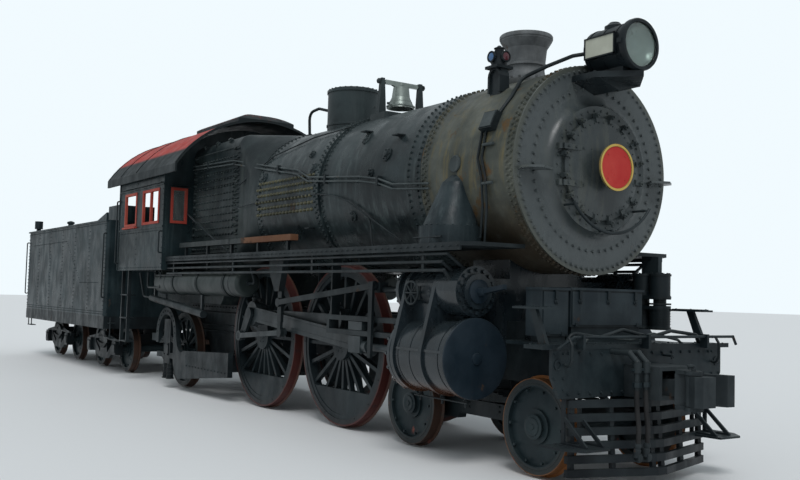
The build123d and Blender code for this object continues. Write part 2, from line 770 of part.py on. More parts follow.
# Chimney: a flared base on the smokebox, a narrow waist and a wide rolled lip.
stack_x = driver_1_x + 2500
stack_top_z = 4640
stack_lip_radius = 290
stack_waist_radius = 215
stack_bore_radius = 185
stack_base_radius = 330
with BuildPart() as stack:
    with BuildSketch(Plane(origin=(stack_x, 0, 0), x_dir=(1, 0, 0), z_dir=(0, -1, 0))):
        with BuildLine():
            base_z = boiler_z + smokebox_radius - 70
            Polyline(
                (stack_bore_radius, stack_top_z),
                (stack_bore_radius, base_z),
                (stack_base_radius, base_z),
                (stack_base_radius, base_z + 90),
            )
            ThreePointArc(
                (stack_base_radius, base_z + 90),
                (stack_waist_radius + 25, base_z + 150),
                (stack_waist_radius, base_z + 270),
            )
            Polyline(
                (stack_waist_radius, base_z + 270),
                (stack_waist_radius + 20, stack_top_z - 150),
                (stack_lip_radius, stack_top_z - 60),
                (stack_lip_radius, stack_top_z),
                (stack_bore_radius, stack_top_z),
            )
        make_face()
    revolve(axis=Axis((stack_x, 0, 0), (0, 0, 1)))
    with BuildSketch(across(smokebox_rear_x)):
        with Locations((0, boiler_z)):
            Circle(smokebox_radius)
    extrude(amount=smokebox_front_x - smokebox_rear_x, mode=Mode.SUBTRACT)
save(stack.part, "stack")

# Bell and its stand on top of the barrel.
bell_x = driver_1_x
bell_axis_z = 4530
bell_mouth_radius = 190
bell_height = 330
bell_post_y = 300
bell_post_width = 60
bell_pin_radius = 18
with BuildPart() as bell_stand:
    with BuildSketch(level(boiler_z + 900)):
        with Locations((bell_x, 0)):
            RectangleRounded(420, 2 * bell_post_y + 130, 50)
    extrude(amount=170)
    with BuildSketch(across(bell_x - 30)):
        for side in (1, -1):
            with BuildLine():
                Polyline(
                    (side * (bell_post_y - 50), boiler_z + 1070),
                    (side * (bell_post_y + 65), boiler_z + 1070),
                    (side * (bell_post_y + 30), bell_axis_z + 45),
                    (side * (bell_post_y - 20), bell_axis_z + 45),
                    close=True,
                )
            make_face()
    extrude(amount=bell_post_width)
    with BuildSketch(across(bell_x - 300)):
        with Locations((0, boiler_z)):
            Circle(front_course_radius)
    extrude(amount=600, mode=Mode.SUBTRACT)
    with BuildSketch(along(bell_post_y + 100)):
        with Locations((bell_x, bell_axis_z)):
            Circle(bell_pin_radius + 3)
    extrude(amount=2 * bell_post_y + 200, mode=Mode.SUBTRACT)
save(bell_stand.part, "bell_stand")

with BuildPart() as bell:
    with BuildSketch(Plane(origin=(bell_x, 0, 0), x_dir=(1, 0, 0), z_dir=(0, -1, 0))):
        with BuildLine():
            mouth_z = bell_axis_z - bell_height
            Polyline(
                (0, mouth_z + 290),
                (0, mouth_z + 265),
                (85, mouth_z + 260),
                (100, mouth_z + 150),
                (bell_mouth_radius - 16, mouth_z),
                (bell_mouth_radius, mouth_z),
                (122, mouth_z + 150),
                (105, mouth_z + 285),
                (0, mouth_z + 290),
            )
        make_face()
    revolve(axis=Axis((bell_x, 0, 0), (0, 0, 1)))
    with BuildSketch(across(bell_x - 22)):
        with BuildLine():
            Polyline(
                (-bell_post_y + 40, bell_axis_z - 28),
                (-150, bell_axis_z - 28),
                (-90, bell_axis_z - 50),
                (90, bell_axis_z - 50),
                (150, bell_axis_z - 28),
                (bell_post_y - 40, bell_axis_z - 28),
                (bell_post_y - 40, bell_axis_z + 28),
                (-bell_post_y + 40, bell_axis_z + 28),
                close=True,
            )
        make_face()
    extrude(amount=44)
    with BuildSketch(along(bell_post_y + 20)):
        with Locations((bell_x, bell_axis_z)):
            Circle(bell_pin_radius)
    extrude(amount=2 * bell_post_y + 40)
save(bell.part, "bell")

# Headlight: a drum with a rim, on a pointed shelf at the top of the smokebox front,
# and a class lamp on each shoulder of the smokebox.
lamp_z = 4212
lamp_radius = 232
lamp_front_x = driver_1_x + 4180
lamp_rear_x = driver_1_x + 3630
shelf_z = 3950
shelf_keel = 88
class_lamp_x = driver_1_x + 2800
class_lamp_y = 640
class_lamp_z = 4235
with BuildPart() as lamps:
    with BuildSketch(level(shelf_z - 60)):
        with BuildLine():
            Polyline(
                (smokebox_front_x + front_plate, -330),
                (smokebox_front_x + 330, -330),
                (lamp_front_x + 40, 0),
                (smokebox_front_x + 330, 330),
                (smokebox_front_x + front_plate, 330),
                close=True,
            )
        make_face()
    extrude(amount=60)
    with BuildSketch(across(smokebox_front_x + front_plate)):
        with BuildLine():
            Polyline((-290, shelf_z - 60), (290, shelf_z - 60), (0, shelf_z - 60 - shelf_keel), close=True)
        make_face()
    extrude(amount=330)
    for start, end, radius in (
        (lamp_rear_x, lamp_front_x - 60, lamp_radius),
        (lamp_front_x - 60, lamp_front_x, lamp_radius + 20),
        (lamp_rear_x - 40, lamp_rear_x, lamp_radius - 70),
    ):
        with BuildSketch(across(start)):
            with Locations((0, lamp_z)):
                Circle(radius)
        extrude(amount=end - start)
    with BuildSketch(across(lamp_front_x)):
        with Locations((0, lamp_z)):
            Circle(lamp_radius - 5)
    extrude(amount=-120, mode=Mode.SUBTRACT)
    with BuildSketch(across(lamp_rear_x + 40)):
        with Locations((0, (shelf_z + lamp_z) / 2)):
            Rectangle(220, lamp_z - shelf_z)
        with Locations((0, lamp_z)):
            Circle(lamp_radius - 40, mode=Mode.SUBTRACT)
    extrude(amount=380)
    for side in (1, -1):
        with BuildSketch(side_plane(side, (lamp_radius - 30, lamp_radius + 16))):
            with Locations((lamp_rear_x + 240, lamp_z)):
                Rectangle(400, 210)
        side_plate((lamp_radius - 30, lamp_radius + 16))
    # Class lamps: one on each shoulder of the smokebox, on a post.
    for side in (1, -1):
        with BuildSketch(level(class_lamp_z - 90)):
            with Locations((class_lamp_x, side * class_lamp_y)):
                Circle(85)
        extrude(amount=150)
        with BuildSketch(level(class_lamp_z + 60)):
            with Locations((class_lamp_x, side * class_lamp_y)):
                Circle(50)
        extrude(amount=45)
        with BuildSketch(level(class_lamp_z - 120)):
            with Locations((class_lamp_x, side * class_lamp_y)):
                Rectangle(200, 220)
        extrude(amount=30)
        with BuildSketch(across(class_lamp_x - 85)):
            with Locations((side * class_lamp_y, class_lamp_z - 270)):
                Rectangle(90, 300)
            with Locations((0, boiler_z)):
                Circle(smokebox_radius, mode=Mode.SUBTRACT)
        extrude(amount=170)
        with BuildSketch(across(class_lamp_x + 70)):
            with Locations((side * class_lamp_y, class_lamp_z)):
                Circle(50)
        extrude(amount=45)
        with BuildSketch(side_plane(side, (class_lamp_y + 70, class_lamp_y + 112))):
            with Locations((class_lamp_x, class_lamp_z)):
                Circle(50)
        side_plate((class_lamp_y + 70, class_lamp_y + 112))
save(lamps.part, "lamps")

# Running boards with their edge angles, and the plank shelf that stands on each board beside the firebox.
board_corner_x = board_front_x - 160
plank_x = (cab_front_x + 220, course_seam_x - 290)
plank_y = (1190, 1300)
plank_z = (2385, 2460)
plank_bracket_pitch = 900
# Columns: x, distance from the centre line
board_table = (
    (board_rear_x, board_inner_y),
    (smokebox_rear_x - 350, board_inner_y),
    (smokebox_rear_x - 100, board_front_inner_y),
    (board_front_x, board_front_inner_y),
    (board_front_x, board_outer_y - 120),
    (board_corner_x, board_outer_y),
    (board_rear_x, board_outer_y),
)
with BuildPart() as running_boards:
    for side in (1, -1):
        with BuildSketch(level(board_z)):
            with BuildLine():
                Polyline(*[(x, side * y) for x, y in board_table], close=True)
            make_face()
        extrude(amount=board_thickness)
        with BuildSketch(across(board_rear_x)):
            with Locations((side * (board_outer_y - 10), board_z)):
                Rectangle(20, 80)
        extrude(amount=board_corner_x - board_rear_x)
        with BuildSketch(across(plank_x[0])):
            with Locations((side * sum(plank_y) / 2, sum(plank_z) / 2)):
                Rectangle(plank_y[1] - plank_y[0], plank_z[1] - plank_z[0])
        extrude(amount=plank_x[1] - plank_x[0])
        for number in range(int((plank_x[1] - plank_x[0]) // plank_bracket_pitch) + 1):
            with BuildSketch(across(plank_x[0] + 150 + number * plank_bracket_pitch)):
                with Locations((side * sum(plank_y) / 2, (board_z + board_thickness + plank_z[0]) / 2)):
                    Rectangle(40, plank_z[0] - board_z - board_thickness)
            extrude(amount=50)
save(running_boards.part, "running_boards")

# Covers over the steam pipes: an upright foot on the running board and a tapering hood into the smokebox.
pipe_cover_x = driver_1_x + 2590
cover_base_z = board_z + board_thickness
cover_foot_height = 190
cover_hood_z = cover_base_z + 660
cover_top_z = cover_base_z + 735
cover_y = 1080
with BuildPart() as steam_pipes:
    for side in (1, -1):
        with BuildSketch(level(cover_base_z)):
            with Locations((pipe_cover_x, side * cover_y)):
                RectangleRounded(620, 600, 240)
        extrude(amount=cover_foot_height)
        with BuildSketch(level(cover_base_z + cover_foot_height)):
            with Locations((pipe_cover_x, side * cover_y)):
                RectangleRounded(560, 540, 230)
        with BuildSketch(level(cover_hood_z)):
            with Locations((pipe_cover_x, side * (cover_y - 90))):
                RectangleRounded(300, 320, 130)
        loft()
        with BuildSketch(level(cover_hood_z)):
            with Locations((pipe_cover_x, side * (cover_y - 90))):
                RectangleRounded(300, 320, 130)
        with BuildSketch(level(cover_top_z)):
            with Locations((pipe_cover_x, side * (cover_y - 130))):
                RectangleRounded(190, 220, 80)
        loft()
    with BuildSketch(across(smokebox_rear_x)):
        with Locations((0, boiler_z)):
            Circle(smokebox_radius)
    extrude(amount=smokebox_front_x - smokebox_rear_x, mode=Mode.SUBTRACT)
save(steam_pipes.part, "steam_pipes")

# Air reservoirs under the running boards, each with three bands, and their hangers.
reservoir_radius = 195
reservoir_y = 1225
reservoir_z = 1812
reservoir_rear_x = backhead_x + 400
reservoir_front_x = driver_2_x + 311
band_rise = 8
with BuildPart() as air_reservoirs:
    for side in (1, -1):
        with BuildSketch(across(reservoir_rear_x)):
            with Locations((side * reservoir_y, reservoir_z)):
                Circle(reservoir_radius)
        extrude(amount=reservoir_front_x - reservoir_rear_x)
        fillet(faces().filter_by(Plane.YZ).edges().filter_by(lambda edge: side * edge.center().Y > 0),
               radius=60)
        for share in (0.25, 0.55, 0.85):
            band_x = reservoir_rear_x + share * (reservoir_front_x - reservoir_rear_x)
            with BuildSketch(across(band_x)):
                with Locations((side * reservoir_y, reservoir_z)):
                    Circle(reservoir_radius + band_rise)
                with Locations((side * reservoir_y, (reservoir_z + board_z) / 2)):
                    Rectangle(40, board_z - reservoir_z)
            extrude(amount=60)
save(air_reservoirs.part, "air_reservoirs")

# Air pump: two steam and two air cylinders in one frame, hung from the left running board.
pump_x = board_front_x - 35
pump_y = 1130
pump_radius = 112
pump_spacing = 234
pump_top_z = 2010
with BuildPart() as air_pump:
    for offset in (-pump_spacing / 2, pump_spacing / 2):
        for low, high, radius in ((1400, 1640, pump_radius), (1640, 1750, 70), (1750, pump_top_z, pump_radius)):
            with BuildSketch(level(low)):
                with Locations((pump_x + offset, pump_y)):
                    Circle(radius)
            extrude(amount=high - low)
    for flange_z in (1620, 1730):
        with BuildSketch(level(flange_z)):
            with Locations((pump_x, pump_y)):
                RectangleRounded(pump_spacing + 2 * pump_radius, 2 * pump_radius + 20, pump_radius)
        extrude(amount=40)
    with BuildSketch(level(pump_top_z)):
        with Locations((pump_x, pump_y)):
            Rectangle(pump_spacing, 60)
    extrude(amount=board_z - pump_top_z)
save(air_pump.part, "air_pump")

# Front deck and bumper beam, with its end plates, the flag step on each corner,
# the cabinets and the uncoupling rod along the front edge.
# Columns: x, distance from the centre line
deck_table = (
    (deck_rear_x, deck_inner_half_width),
    (deck_wing_x - 120, deck_inner_half_width),
    (deck_wing_x, deck_half_width),
    (beam_front_x, deck_half_width),
)
beam_top_z = deck_z - deck_thickness
beam_low_z = beam_top_z - beam_depth
end_plate_thickness = 35
end_plate_reach = 160
flag_step_x = driver_1_x + 3920
flag_step_y = 1100
flag_step_z = 1610
flag_post_thickness = 40
# Columns: bottom z, top z, back x, front x, left y, right y
cabinet_table = (
    (deck_z, 1440, 3540, 3770, 480, -480),
    (1440, 1808, 3490, 3785, 505, -505),
    (deck_z, 1350, 3600, 3770, -560, -840),
    (1350, 1800, 3570, 3785, -535, -880),
)
uncoupling_x = beam_front_x + 60
uncoupling_radius = 14
uncoupling_bracket_y = (-860, 0, 860)
# Columns: y, z
uncoupling_table = ((-1160, 1262), (-960, 1368), (960, 1368), (1290, 1368), (1340, 1288))
with BuildPart() as front_deck:
    with BuildSketch(level(beam_top_z)):
        with BuildLine():
            Polyline(*deck_table, *[(x, -y) for x, y in reversed(deck_table)], close=True)
        make_face()
    extrude(amount=deck_thickness)
    with BuildSketch(across(frame_front_x)):
        with Locations((0, beam_top_z - beam_depth / 2)):
            Rectangle(2 * beam_half_width, beam_depth)
    extrude(amount=beam_front_x - frame_front_x)
    for side in (1, -1):
        with BuildSketch(across(beam_front_x - end_plate_thickness)):
            with BuildLine():
                Polyline(
                    (side * beam_half_width, beam_top_z),
                    (side * beam_half_width, beam_low_z),
                    (side * (beam_half_width + 60), beam_low_z),
                    (side * (beam_half_width + end_plate_reach), beam_low_z + 190),
                    (side * (beam_half_width + end_plate_reach), beam_top_z),
                    close=True,
                )
            make_face()
        extrude(amount=end_plate_thickness)
        post_near = (flag_step_y - flag_post_thickness / 2, flag_step_y + flag_post_thickness / 2)
        with BuildSketch(side_plane(side, post_near)):
            with BuildLine():
                Polyline(
                    (flag_step_x - 40, flag_step_z),
                    (flag_step_x + 40, flag_step_z),
                    (flag_step_x + 190, deck_z),
                    (flag_step_x + 90, deck_z),
                    close=True,
                )
            make_face()
        side_plate(post_near)
        with BuildSketch(level(flag_step_z)):
            with Locations((flag_step_x, side * flag_step_y)):
                Rectangle(440, 150)
        extrude(amount=20)
    for low, high, back, front, left, right in cabinet_table:
        with BuildSketch(level(low)):
            with Locations((driver_1_x + (back + front) / 2, (left + right) / 2)):
                Rectangle(front - back, left - right)
        extrude(amount=high - low)
    pipe_run([(uncoupling_x, y, z) for y, z in uncoupling_table], uncoupling_radius)
    for bracket_y in uncoupling_bracket_y:
        with BuildSketch(level(beam_top_z)):
            with Locations(((beam_front_x + uncoupling_x + 30) / 2, bracket_y)):
                Rectangle(uncoupling_x + 30 - beam_front_x, 30)
        extrude(amount=uncoupling_table[1][1] + 25 - beam_top_z)
save(front_deck.part, "front_deck")

# Pilot: a wedge of level slats on upright bars, with a footboard on two braces at each side.
pilot_back_x = beam_front_x - 20
pilot_half_width = 940
pilot_slat_height = 70
pilot_slat_thickness = 45
pilot_low_z = 110
pilot_top_z = beam_low_z
slat_pitch = 124
pilot_tip_low = 280
pilot_tip_high = 190
pilot_rows = 6
footboard_z = 390
footboard_thickness = 20
footboard_brace_y = (780, 980)
# Columns: reach forward of the pilot's back, distance from the centre line
footboard_table = ((-90, 720), (340, 760), (340, 1060), (180, 1180), (-90, 1180))
with BuildPart() as pilot:
    for row in range(pilot_rows):
        low = pilot_low_z + row * slat_pitch
        tip = pilot_tip_low + (pilot_tip_high - pilot_tip_low) * row / (pilot_rows - 1)
        with BuildSketch(level(low)):
            with BuildLine():
                Polyline(
                    (pilot_back_x, -pilot_half_width),
                    (pilot_back_x + tip, -60),
                    (pilot_back_x + tip, 60),
                    (pilot_back_x, pilot_half_width),
                    (pilot_back_x - pilot_slat_thickness, pilot_half_width),
                    (pilot_back_x + tip - pilot_slat_thickness, 60),
                    (pilot_back_x + tip - pilot_slat_thickness, -60),
                    (pilot_back_x - pilot_slat_thickness, -pilot_half_width),
                    close=True,
                )
            make_face()
        extrude(amount=pilot_slat_height)
    for bar_y in (-pilot_half_width + 60, -470, -60, 60, 470, pilot_half_width - 60):
        share = 1 - abs(bar_y) / pilot_half_width
        with BuildSketch(along(bar_y + 25)):
            with BuildLine():
                Polyline(
                    (pilot_back_x - 60 + pilot_tip_low * share, pilot_low_z),
                    (pilot_back_x - 20 + pilot_tip_low * share, pilot_low_z),
                    (pilot_back_x - 20 + pilot_tip_high * share, pilot_top_z - 60),
                    (pilot_back_x, pilot_top_z),
                    (pilot_back_x - 80, pilot_top_z),
                    (pilot_back_x - 60 + pilot_tip_high * share, pilot_top_z - 80),
                    close=True,
                )
            make_face()
        extrude(amount=50)
    for side in (1, -1):
        with BuildSketch(level(footboard_z)):
            with BuildLine():
                Polyline(*[(pilot_back_x + reach, side * out) for reach, out in footboard_table], close=True)
            make_face()
        extrude(amount=footboard_thickness)
        for brace_y in footboard_brace_y:
            with BuildSketch(along(side * brace_y + 10)):
                with BuildLine():
                    Polyline(
                        (pilot_back_x - 40, pilot_top_z),
                        (pilot_back_x, pilot_top_z),
                        (pilot_back_x, pilot_top_z - 160),
                        (pilot_back_x + 280, footboard_z + footboard_thickness + 15),
                        (pilot_back_x + 280, footboard_z),
                        (pilot_back_x - 40, footboard_z),
                        close=True,
                    )
                make_face()
                with BuildLine():
                    Polyline(
                        (pilot_back_x, pilot_top_z - 205),
                        (pilot_back_x + 215, footboard_z + footboard_thickness + 20),
                        (pilot_back_x, footboard_z + footboard_thickness + 20),
                        close=True,
                    )
                make_face(mode=Mode.SUBTRACT)
            extrude(amount=20)
save(pilot.part, "pilot")


head_half_height = 140
lug_thickness = 35
knuckle_half_height = head_half_height - knuckle_gap
knuckle_pin_back = 190
knuckle_pin_y = 130
knuckle_pin_radius = 20
knuckle_pin_clearance = 4
shank_half_height = 75
shank_half_width = 95
casting_half_width = 245
casting_wall = 35
casting_top_z = coupler_z + 190


def coupler_block(face_x, direction, carrier_x):
    """Fixed head of a coupler, its shank, and the open casting on the beam that carries the shank."""
    head_x = face_x - direction * coupler_head_length
    with BuildSketch(level(coupler_z - head_half_height)) as outline:
        with BuildLine():
            Polyline(
                (head_x, 200 * direction),
                (head_x + 130 * direction, 200 * direction),
                (face_x - 20 * direction, 260 * direction),
                (face_x - 20 * direction, 160 * direction),
                (head_x + 110 * direction, 60 * direction),
                (head_x + 110 * direction, -90 * direction),
                (head_x, -150 * direction),
                close=True,
            )
        make_face()
    extrude(outline.sketch, amount=2 * head_half_height)
    with BuildSketch(across(carrier_x)) as shank:
        with Locations((0, coupler_z)):
            Rectangle(2 * shank_half_width, 2 * shank_half_height)
    extrude(shank.sketch, amount=head_x + direction * 10 - carrier_x)
    casting_low_z = coupler_z - shank_half_height - casting_wall
    casting_height = casting_top_z - casting_low_z
    with BuildSketch(across(carrier_x)) as casting:
        with Locations((0, casting_low_z + casting_height / 2)):
            Rectangle(2 * casting_half_width, casting_height)
            Rectangle(2 * (casting_half_width - casting_wall), casting_height - 2 * casting_wall,
                      mode=Mode.SUBTRACT)
    extrude(casting.sketch, amount=head_x - direction * 90 - carrier_x)
    for low in (coupler_z - head_half_height - lug_thickness, coupler_z + head_half_height):
        with BuildSketch(level(low)) as lug:
            with Locations((head_x + direction * knuckle_pin_back, -knuckle_pin_y * direction)):
                Circle(75)
            with Locations((head_x + direction * 100, -70 * direction)):
                Rectangle(200, 150)
        extrude(lug.sketch, amount=lug_thickness)


def knuckle_block(face_x, direction):
    """Swinging jaw of a coupler, between the two lugs of the head, with its pin."""
    head_x = face_x - direction * coupler_head_length
    pin_at = (head_x + direction * knuckle_pin_back, -knuckle_pin_y * direction)
    with BuildSketch(level(coupler_z - knuckle_half_height)) as outline:
        with Locations(pin_at):
            Circle(70)
        with BuildLine():
            Polyline(
                (head_x + 195 * direction, -200 * direction),
                (face_x - 60 * direction, -240 * direction),
                (face_x, -200 * direction),
                (face_x, -30 * direction),
                (face_x - 70 * direction, -10 * direction),
                (head_x + 190 * direction, -65 * direction),
                close=True,
            )
        make_face()
    extrude(outline.sketch, amount=2 * knuckle_half_height)
    pin_half_length = head_half_height + lug_thickness + 25
    with BuildSketch(level(coupler_z - pin_half_length)) as pin:
        with Locations(pin_at):
            Circle(knuckle_pin_radius)
    extrude(pin.sketch, amount=2 * pin_half_length)


# Couplers and their knuckles. Columns: name ending, face x, direction, x of the beam that carries it
front_face_x = length_over_couplers / 2
coupler_table = (("front", front_face_x, 1, beam_front_x), ("rear", -front_face_x, -1, tender_rear_x))
for ending, face_x, direction, carrier_x in coupler_table:
    with BuildPart() as coupler:
        coupler_block(face_x, direction, carrier_x)
        with BuildSketch(level(coupler_z - 2 * head_half_height)):
            with Locations((face_x - direction * (coupler_head_length - knuckle_pin_back),
                            -knuckle_pin_y * direction)):
                Circle(knuckle_pin_radius + knuckle_pin_clearance)
        extrude(amount=4 * head_half_height, mode=Mode.SUBTRACT)
    save(coupler.part, "coupler_" + ending)
    with BuildPart() as knuckle:
        knuckle_block(face_x, direction)
    save(knuckle.part, "knuckle_" + ending)

# Crosshead guides with the yoke that hangs them from the running board.
guide_front_x = cylinder_rear_x - 50
yoke_x = guide_rear_x + 30
with BuildPart() as crosshead_guides:
    for side in (1, -1):
        for near_y, low, high in (
            ((cylinder_y - guide_width / 2, cylinder_y + guide_width / 2), guide_top_z,
             guide_top_z + guide_thickness),
            ((cylinder_y - guide_width / 2, cylinder_y - 26), guide_bottom_z - guide_thickness,
             guide_bottom_z),
            ((cylinder_y + 26, cylinder_y + guide_width / 2), guide_bottom_z - guide_thickness,
             guide_bottom_z),
        ):
            with BuildSketch(side_plane(side, near_y)):
                with Locations(((guide_rear_x + guide_front_x) / 2, (low + high) / 2)):
                    Rectangle(guide_front_x - guide_rear_x, high - low)
            side_plate(near_y)
        for end_x in (guide_rear_x, guide_front_x - 60):
            with BuildSketch(across(end_x)):
                with Locations((side * cylinder_y, (guide_top_z + guide_bottom_z) / 2)):
                    Rectangle(guide_width, guide_top_z - guide_bottom_z)
            extrude(amount=60)
        with BuildSketch(across(yoke_x)):
            with Locations((side * (cylinder_y - 22), (guide_top_z + guide_thickness + board_z) / 2)):
                Rectangle(120, board_z - guide_top_z - guide_thickness)
        extrude(amount=30)
        with BuildSketch(across(guide_front_x)):
            with Locations((side * cylinder_y, (guide_top_z + guide_bottom_z) / 2)):
                Rectangle(guide_width, guide_top_z - guide_bottom_z)
        extrude(amount=cylinder_rear_x - guide_front_x)
save(crosshead_guides.part, "crosshead_guides")

# Valve gear of each side: link, radius rod, combination lever and valve stem, with the hanger bracket.
lever_x = cylinder_rear_x - 800
lever_foot_z = 980
link_foot_z = driver_axle_z + eccentric_rod_rise
gear_bar_thickness = 34
radius_rod_start = (link_x, link_z)
radius_rod_end = (lever_x, valve_z + 45)
with BuildPart() as valve_gear:
    for side in (1, -1):
        link_near = (link_y, link_y + 40)
        with BuildSketch(side_plane(side, link_near)):
            with Locations((link_x, link_z - 30)):
                Rectangle(110, 470)
            with Locations((link_x, (link_foot_z + link_z) / 2)):
                Rectangle(80, link_z - link_foot_z)
            with Locations((link_x, link_foot_z)):
                Circle(62)
        side_plate(link_near)
        bracket_near = (link_y, link_y + 90)
        with BuildSketch(side_plane(side, bracket_near)):
            with BuildLine():
                Polyline(
                    (link_x - 240, board_z),
                    (link_x + 200, board_z),
                    (link_x + 60, link_z + 150),
                    (link_x - 60, link_z + 150),
                    (link_x - 240, board_z - 220),
                    close=True,
                )
            make_face()
        side_plate(bracket_near)
        bar_near = (link_near[1], link_near[1] + gear_bar_thickness)
        rod(side, bar_near, radius_rod_start, radius_rod_end, 70, 60, 55, 0, 0)
        lever_near = (bar_near[1], bar_near[1] + gear_bar_thickness)
        with BuildSketch(side_plane(side, lever_near)):
            with BuildLine():
                Polyline(
                    (lever_x - 45, valve_z + 90),
                    (lever_x + 45, valve_z + 90),
                    (lever_x + 30, lever_foot_z),
                    (lever_x - 30, lever_foot_z),
                    close=True,
                )
            make_face()
        side_plate(lever_near)
        with BuildSketch(across(lever_x - 60)):
            with Locations((side * valve_y, valve_z)):
                Circle(35)
        extrude(amount=valve_rear_x - valve_gland_length - lever_x + 60)
        stem_near = (valve_y - 45, link_near[1])
        with BuildSketch(side_plane(side, stem_near)):
            with Locations((lever_x + 20, valve_z + 25)):
                Rectangle(160, 120)
        side_plate(stem_near)
save(valve_gear.part, "valve_gear")

# Leading truck: inside side bars, a transom with the centre bearing, and spring hangers.
truck_bar_y = (470, 580)
truck_bar_low = 380
truck_bar_high = 600
pivot_pin_radius = 60
truck_bearing_gap = 10
with BuildPart() as lead_truck_frame:
    with BuildSketch(side_plane(-1, truck_bar_y)):
        with Locations((lead_pivot_x, (truck_bar_low + truck_bar_high) / 2)):
            Rectangle(lead_axle_front_x - lead_axle_rear_x + 440, truck_bar_high - truck_bar_low)
        for axle_x in (lead_axle_front_x, lead_axle_rear_x):
            with Locations((axle_x, lead_axle_z)):
                Circle(small_axle_radius + bearing_clearance, mode=Mode.SUBTRACT)
        with Locations((lead_pivot_x, truck_bar_low)):
            SlotOverall(900, 120, mode=Mode.SUBTRACT)
    side_plate(truck_bar_y)
    mirror(about=Plane.XZ)
    with BuildSketch(level(truck_bar_low + 80)):
        with Locations((lead_pivot_x, 0)):
            Rectangle(420, 2 * truck_bar_y[0])
    extrude(amount=truck_bar_high - truck_bar_low - 80)
    with BuildSketch(level(truck_bar_high)):
        with Locations((lead_pivot_x, 0)):
            Circle(170)
    extrude(amount=900 - truck_bar_high - truck_bearing_gap)
    with BuildSketch(level(truck_bar_low)):
        with Locations((lead_pivot_x, 0)):
            Circle(pivot_pin_radius + bearing_clearance)
    extrude(amount=900 - truck_bar_low, mode=Mode.SUBTRACT)
save(lead_truck_frame.part, "lead_truck_frame")

# Trailing truck: outside frames arched over the journal boxes, deep plates forward to the pivot.
trailing_near = (1040, 1120)
arch_radius = 480
arch_bar = 120
arch_x = trailing_axle_x - 70
plate_front_x = trailing_pivot_x + 650
coil_spring_radius = 55
coil_spring_low = 160
arch_spring_z = 900
journal_box_half = 150
journal_box_low = 420
pivot_beam_low = 420
pivot_beam_high = 690
with BuildPart() as trailing_truck_frame:
    with BuildSketch(side_plane(-1, trailing_near)):
        with BuildLine():
            Line((arch_x - arch_radius, 760), (arch_x - arch_radius, arch_spring_z))
            ThreePointArc(
                (arch_x - arch_radius, arch_spring_z),
                (arch_x, arch_spring_z + arch_radius),
                (arch_x + arch_radius, arch_spring_z),
            )
            Line((arch_x + arch_radius, arch_spring_z), (arch_x + arch_radius + 30, 820))
            RadiusArc((arch_x + arch_radius + 30, 820), (trailing_axle_x + 760, 680), -220)
            Polyline(
                (trailing_axle_x + 760, 680),
                (plate_front_x, 760),
                (plate_front_x, 390),
                (trailing_axle_x + 560, 200),
            )
            RadiusArc((trailing_axle_x + 560, 200), (arch_x + arch_radius - arch_bar, 640), 420)
            Line((arch_x + arch_radius - arch_bar, 640),
                 (arch_x + arch_radius - arch_bar, arch_spring_z))
            ThreePointArc(
                (arch_x + arch_radius - arch_bar, arch_spring_z),
                (arch_x, arch_spring_z + arch_radius - arch_bar),
                (arch_x - arch_radius + arch_bar, arch_spring_z),
            )
            Polyline(
                (arch_x - arch_radius + arch_bar, arch_spring_z),
                (arch_x - arch_radius + arch_bar, 760),
                (arch_x - arch_radius, 760),
            )
        make_face()
        with Locations((trailing_axle_x, (journal_box_low + 1180) / 2)):
            Rectangle(2 * journal_box_half, 1180 - journal_box_low)
        with Locations((trailing_axle_x - 30, 560)):
            Rectangle(2 * arch_radius - 60, 90)
        with Locations((trailing_axle_x - 620, 845)):
            Rectangle(260, 130)
        with Locations((trailing_axle_x, trailing_axle_z)):
            Circle(journal_radius + bearing_clearance, mode=Mode.SUBTRACT)
    side_plate(trailing_near)
    mirror(about=Plane.XZ)
    with BuildSketch(level(pivot_beam_low)):
        with Locations((trailing_pivot_x - 80, 0)):
            Rectangle(340, 2 * trailing_near[1])
    extrude(amount=pivot_beam_high - pivot_beam_low)
    with BuildSketch(level(780)):
        with Locations((trailing_axle_x - 720, 0)):
            Rectangle(60, 2 * trailing_near[1])
    extrude(amount=130)
    for side in (1, -1):
        with BuildSketch(level(coil_spring_low)):
            for offset in (-journal_box_half + coil_spring_radius, journal_box_half - coil_spring_radius):
                with Locations((trailing_axle_x + offset, side * sum(trailing_near) / 2)):
                    Circle(coil_spring_radius)
        extrude(amount=journal_box_low - coil_spring_low)
    with BuildSketch(level(pivot_beam_low)):
        with Locations((trailing_pivot_x, 0)):
            Circle(pivot_pin_radius + bearing_clearance)
    extrude(amount=pivot_beam_high - pivot_beam_low, mode=Mode.SUBTRACT)
save(trailing_truck_frame.part, "trailing_truck_frame")

# Ashpan under the firebox, stepped up over the trailing axle.
ashpan_half_width = 540
ashpan_top_z = frame_rear_bottom_z - 20
ashpan_length = 1950
# Columns: distance forward of the backhead, height
ashpan_table = ((0, ashpan_top_z), (ashpan_length, ashpan_top_z), (1900, 760), (1750, 480),
                (1050, 480), (800, 860), (0, 960))
with BuildPart() as ashpan:
    with BuildSketch(along(ashpan_half_width)):
        with BuildLine():
            Polyline(*[(backhead_x + reach, z) for reach, z in ashpan_table], close=True)
        make_face()
    extrude(amount=2 * ashpan_half_width)
    with BuildSketch(level(ashpan_top_z)):
        with Locations((backhead_x + ashpan_length / 2, 0)):
            Rectangle(ashpan_length, 2 * frame_y - 20)
    extrude(amount=firebox_bottom_z - ashpan_top_z)
save(ashpan.part, "ashpan")

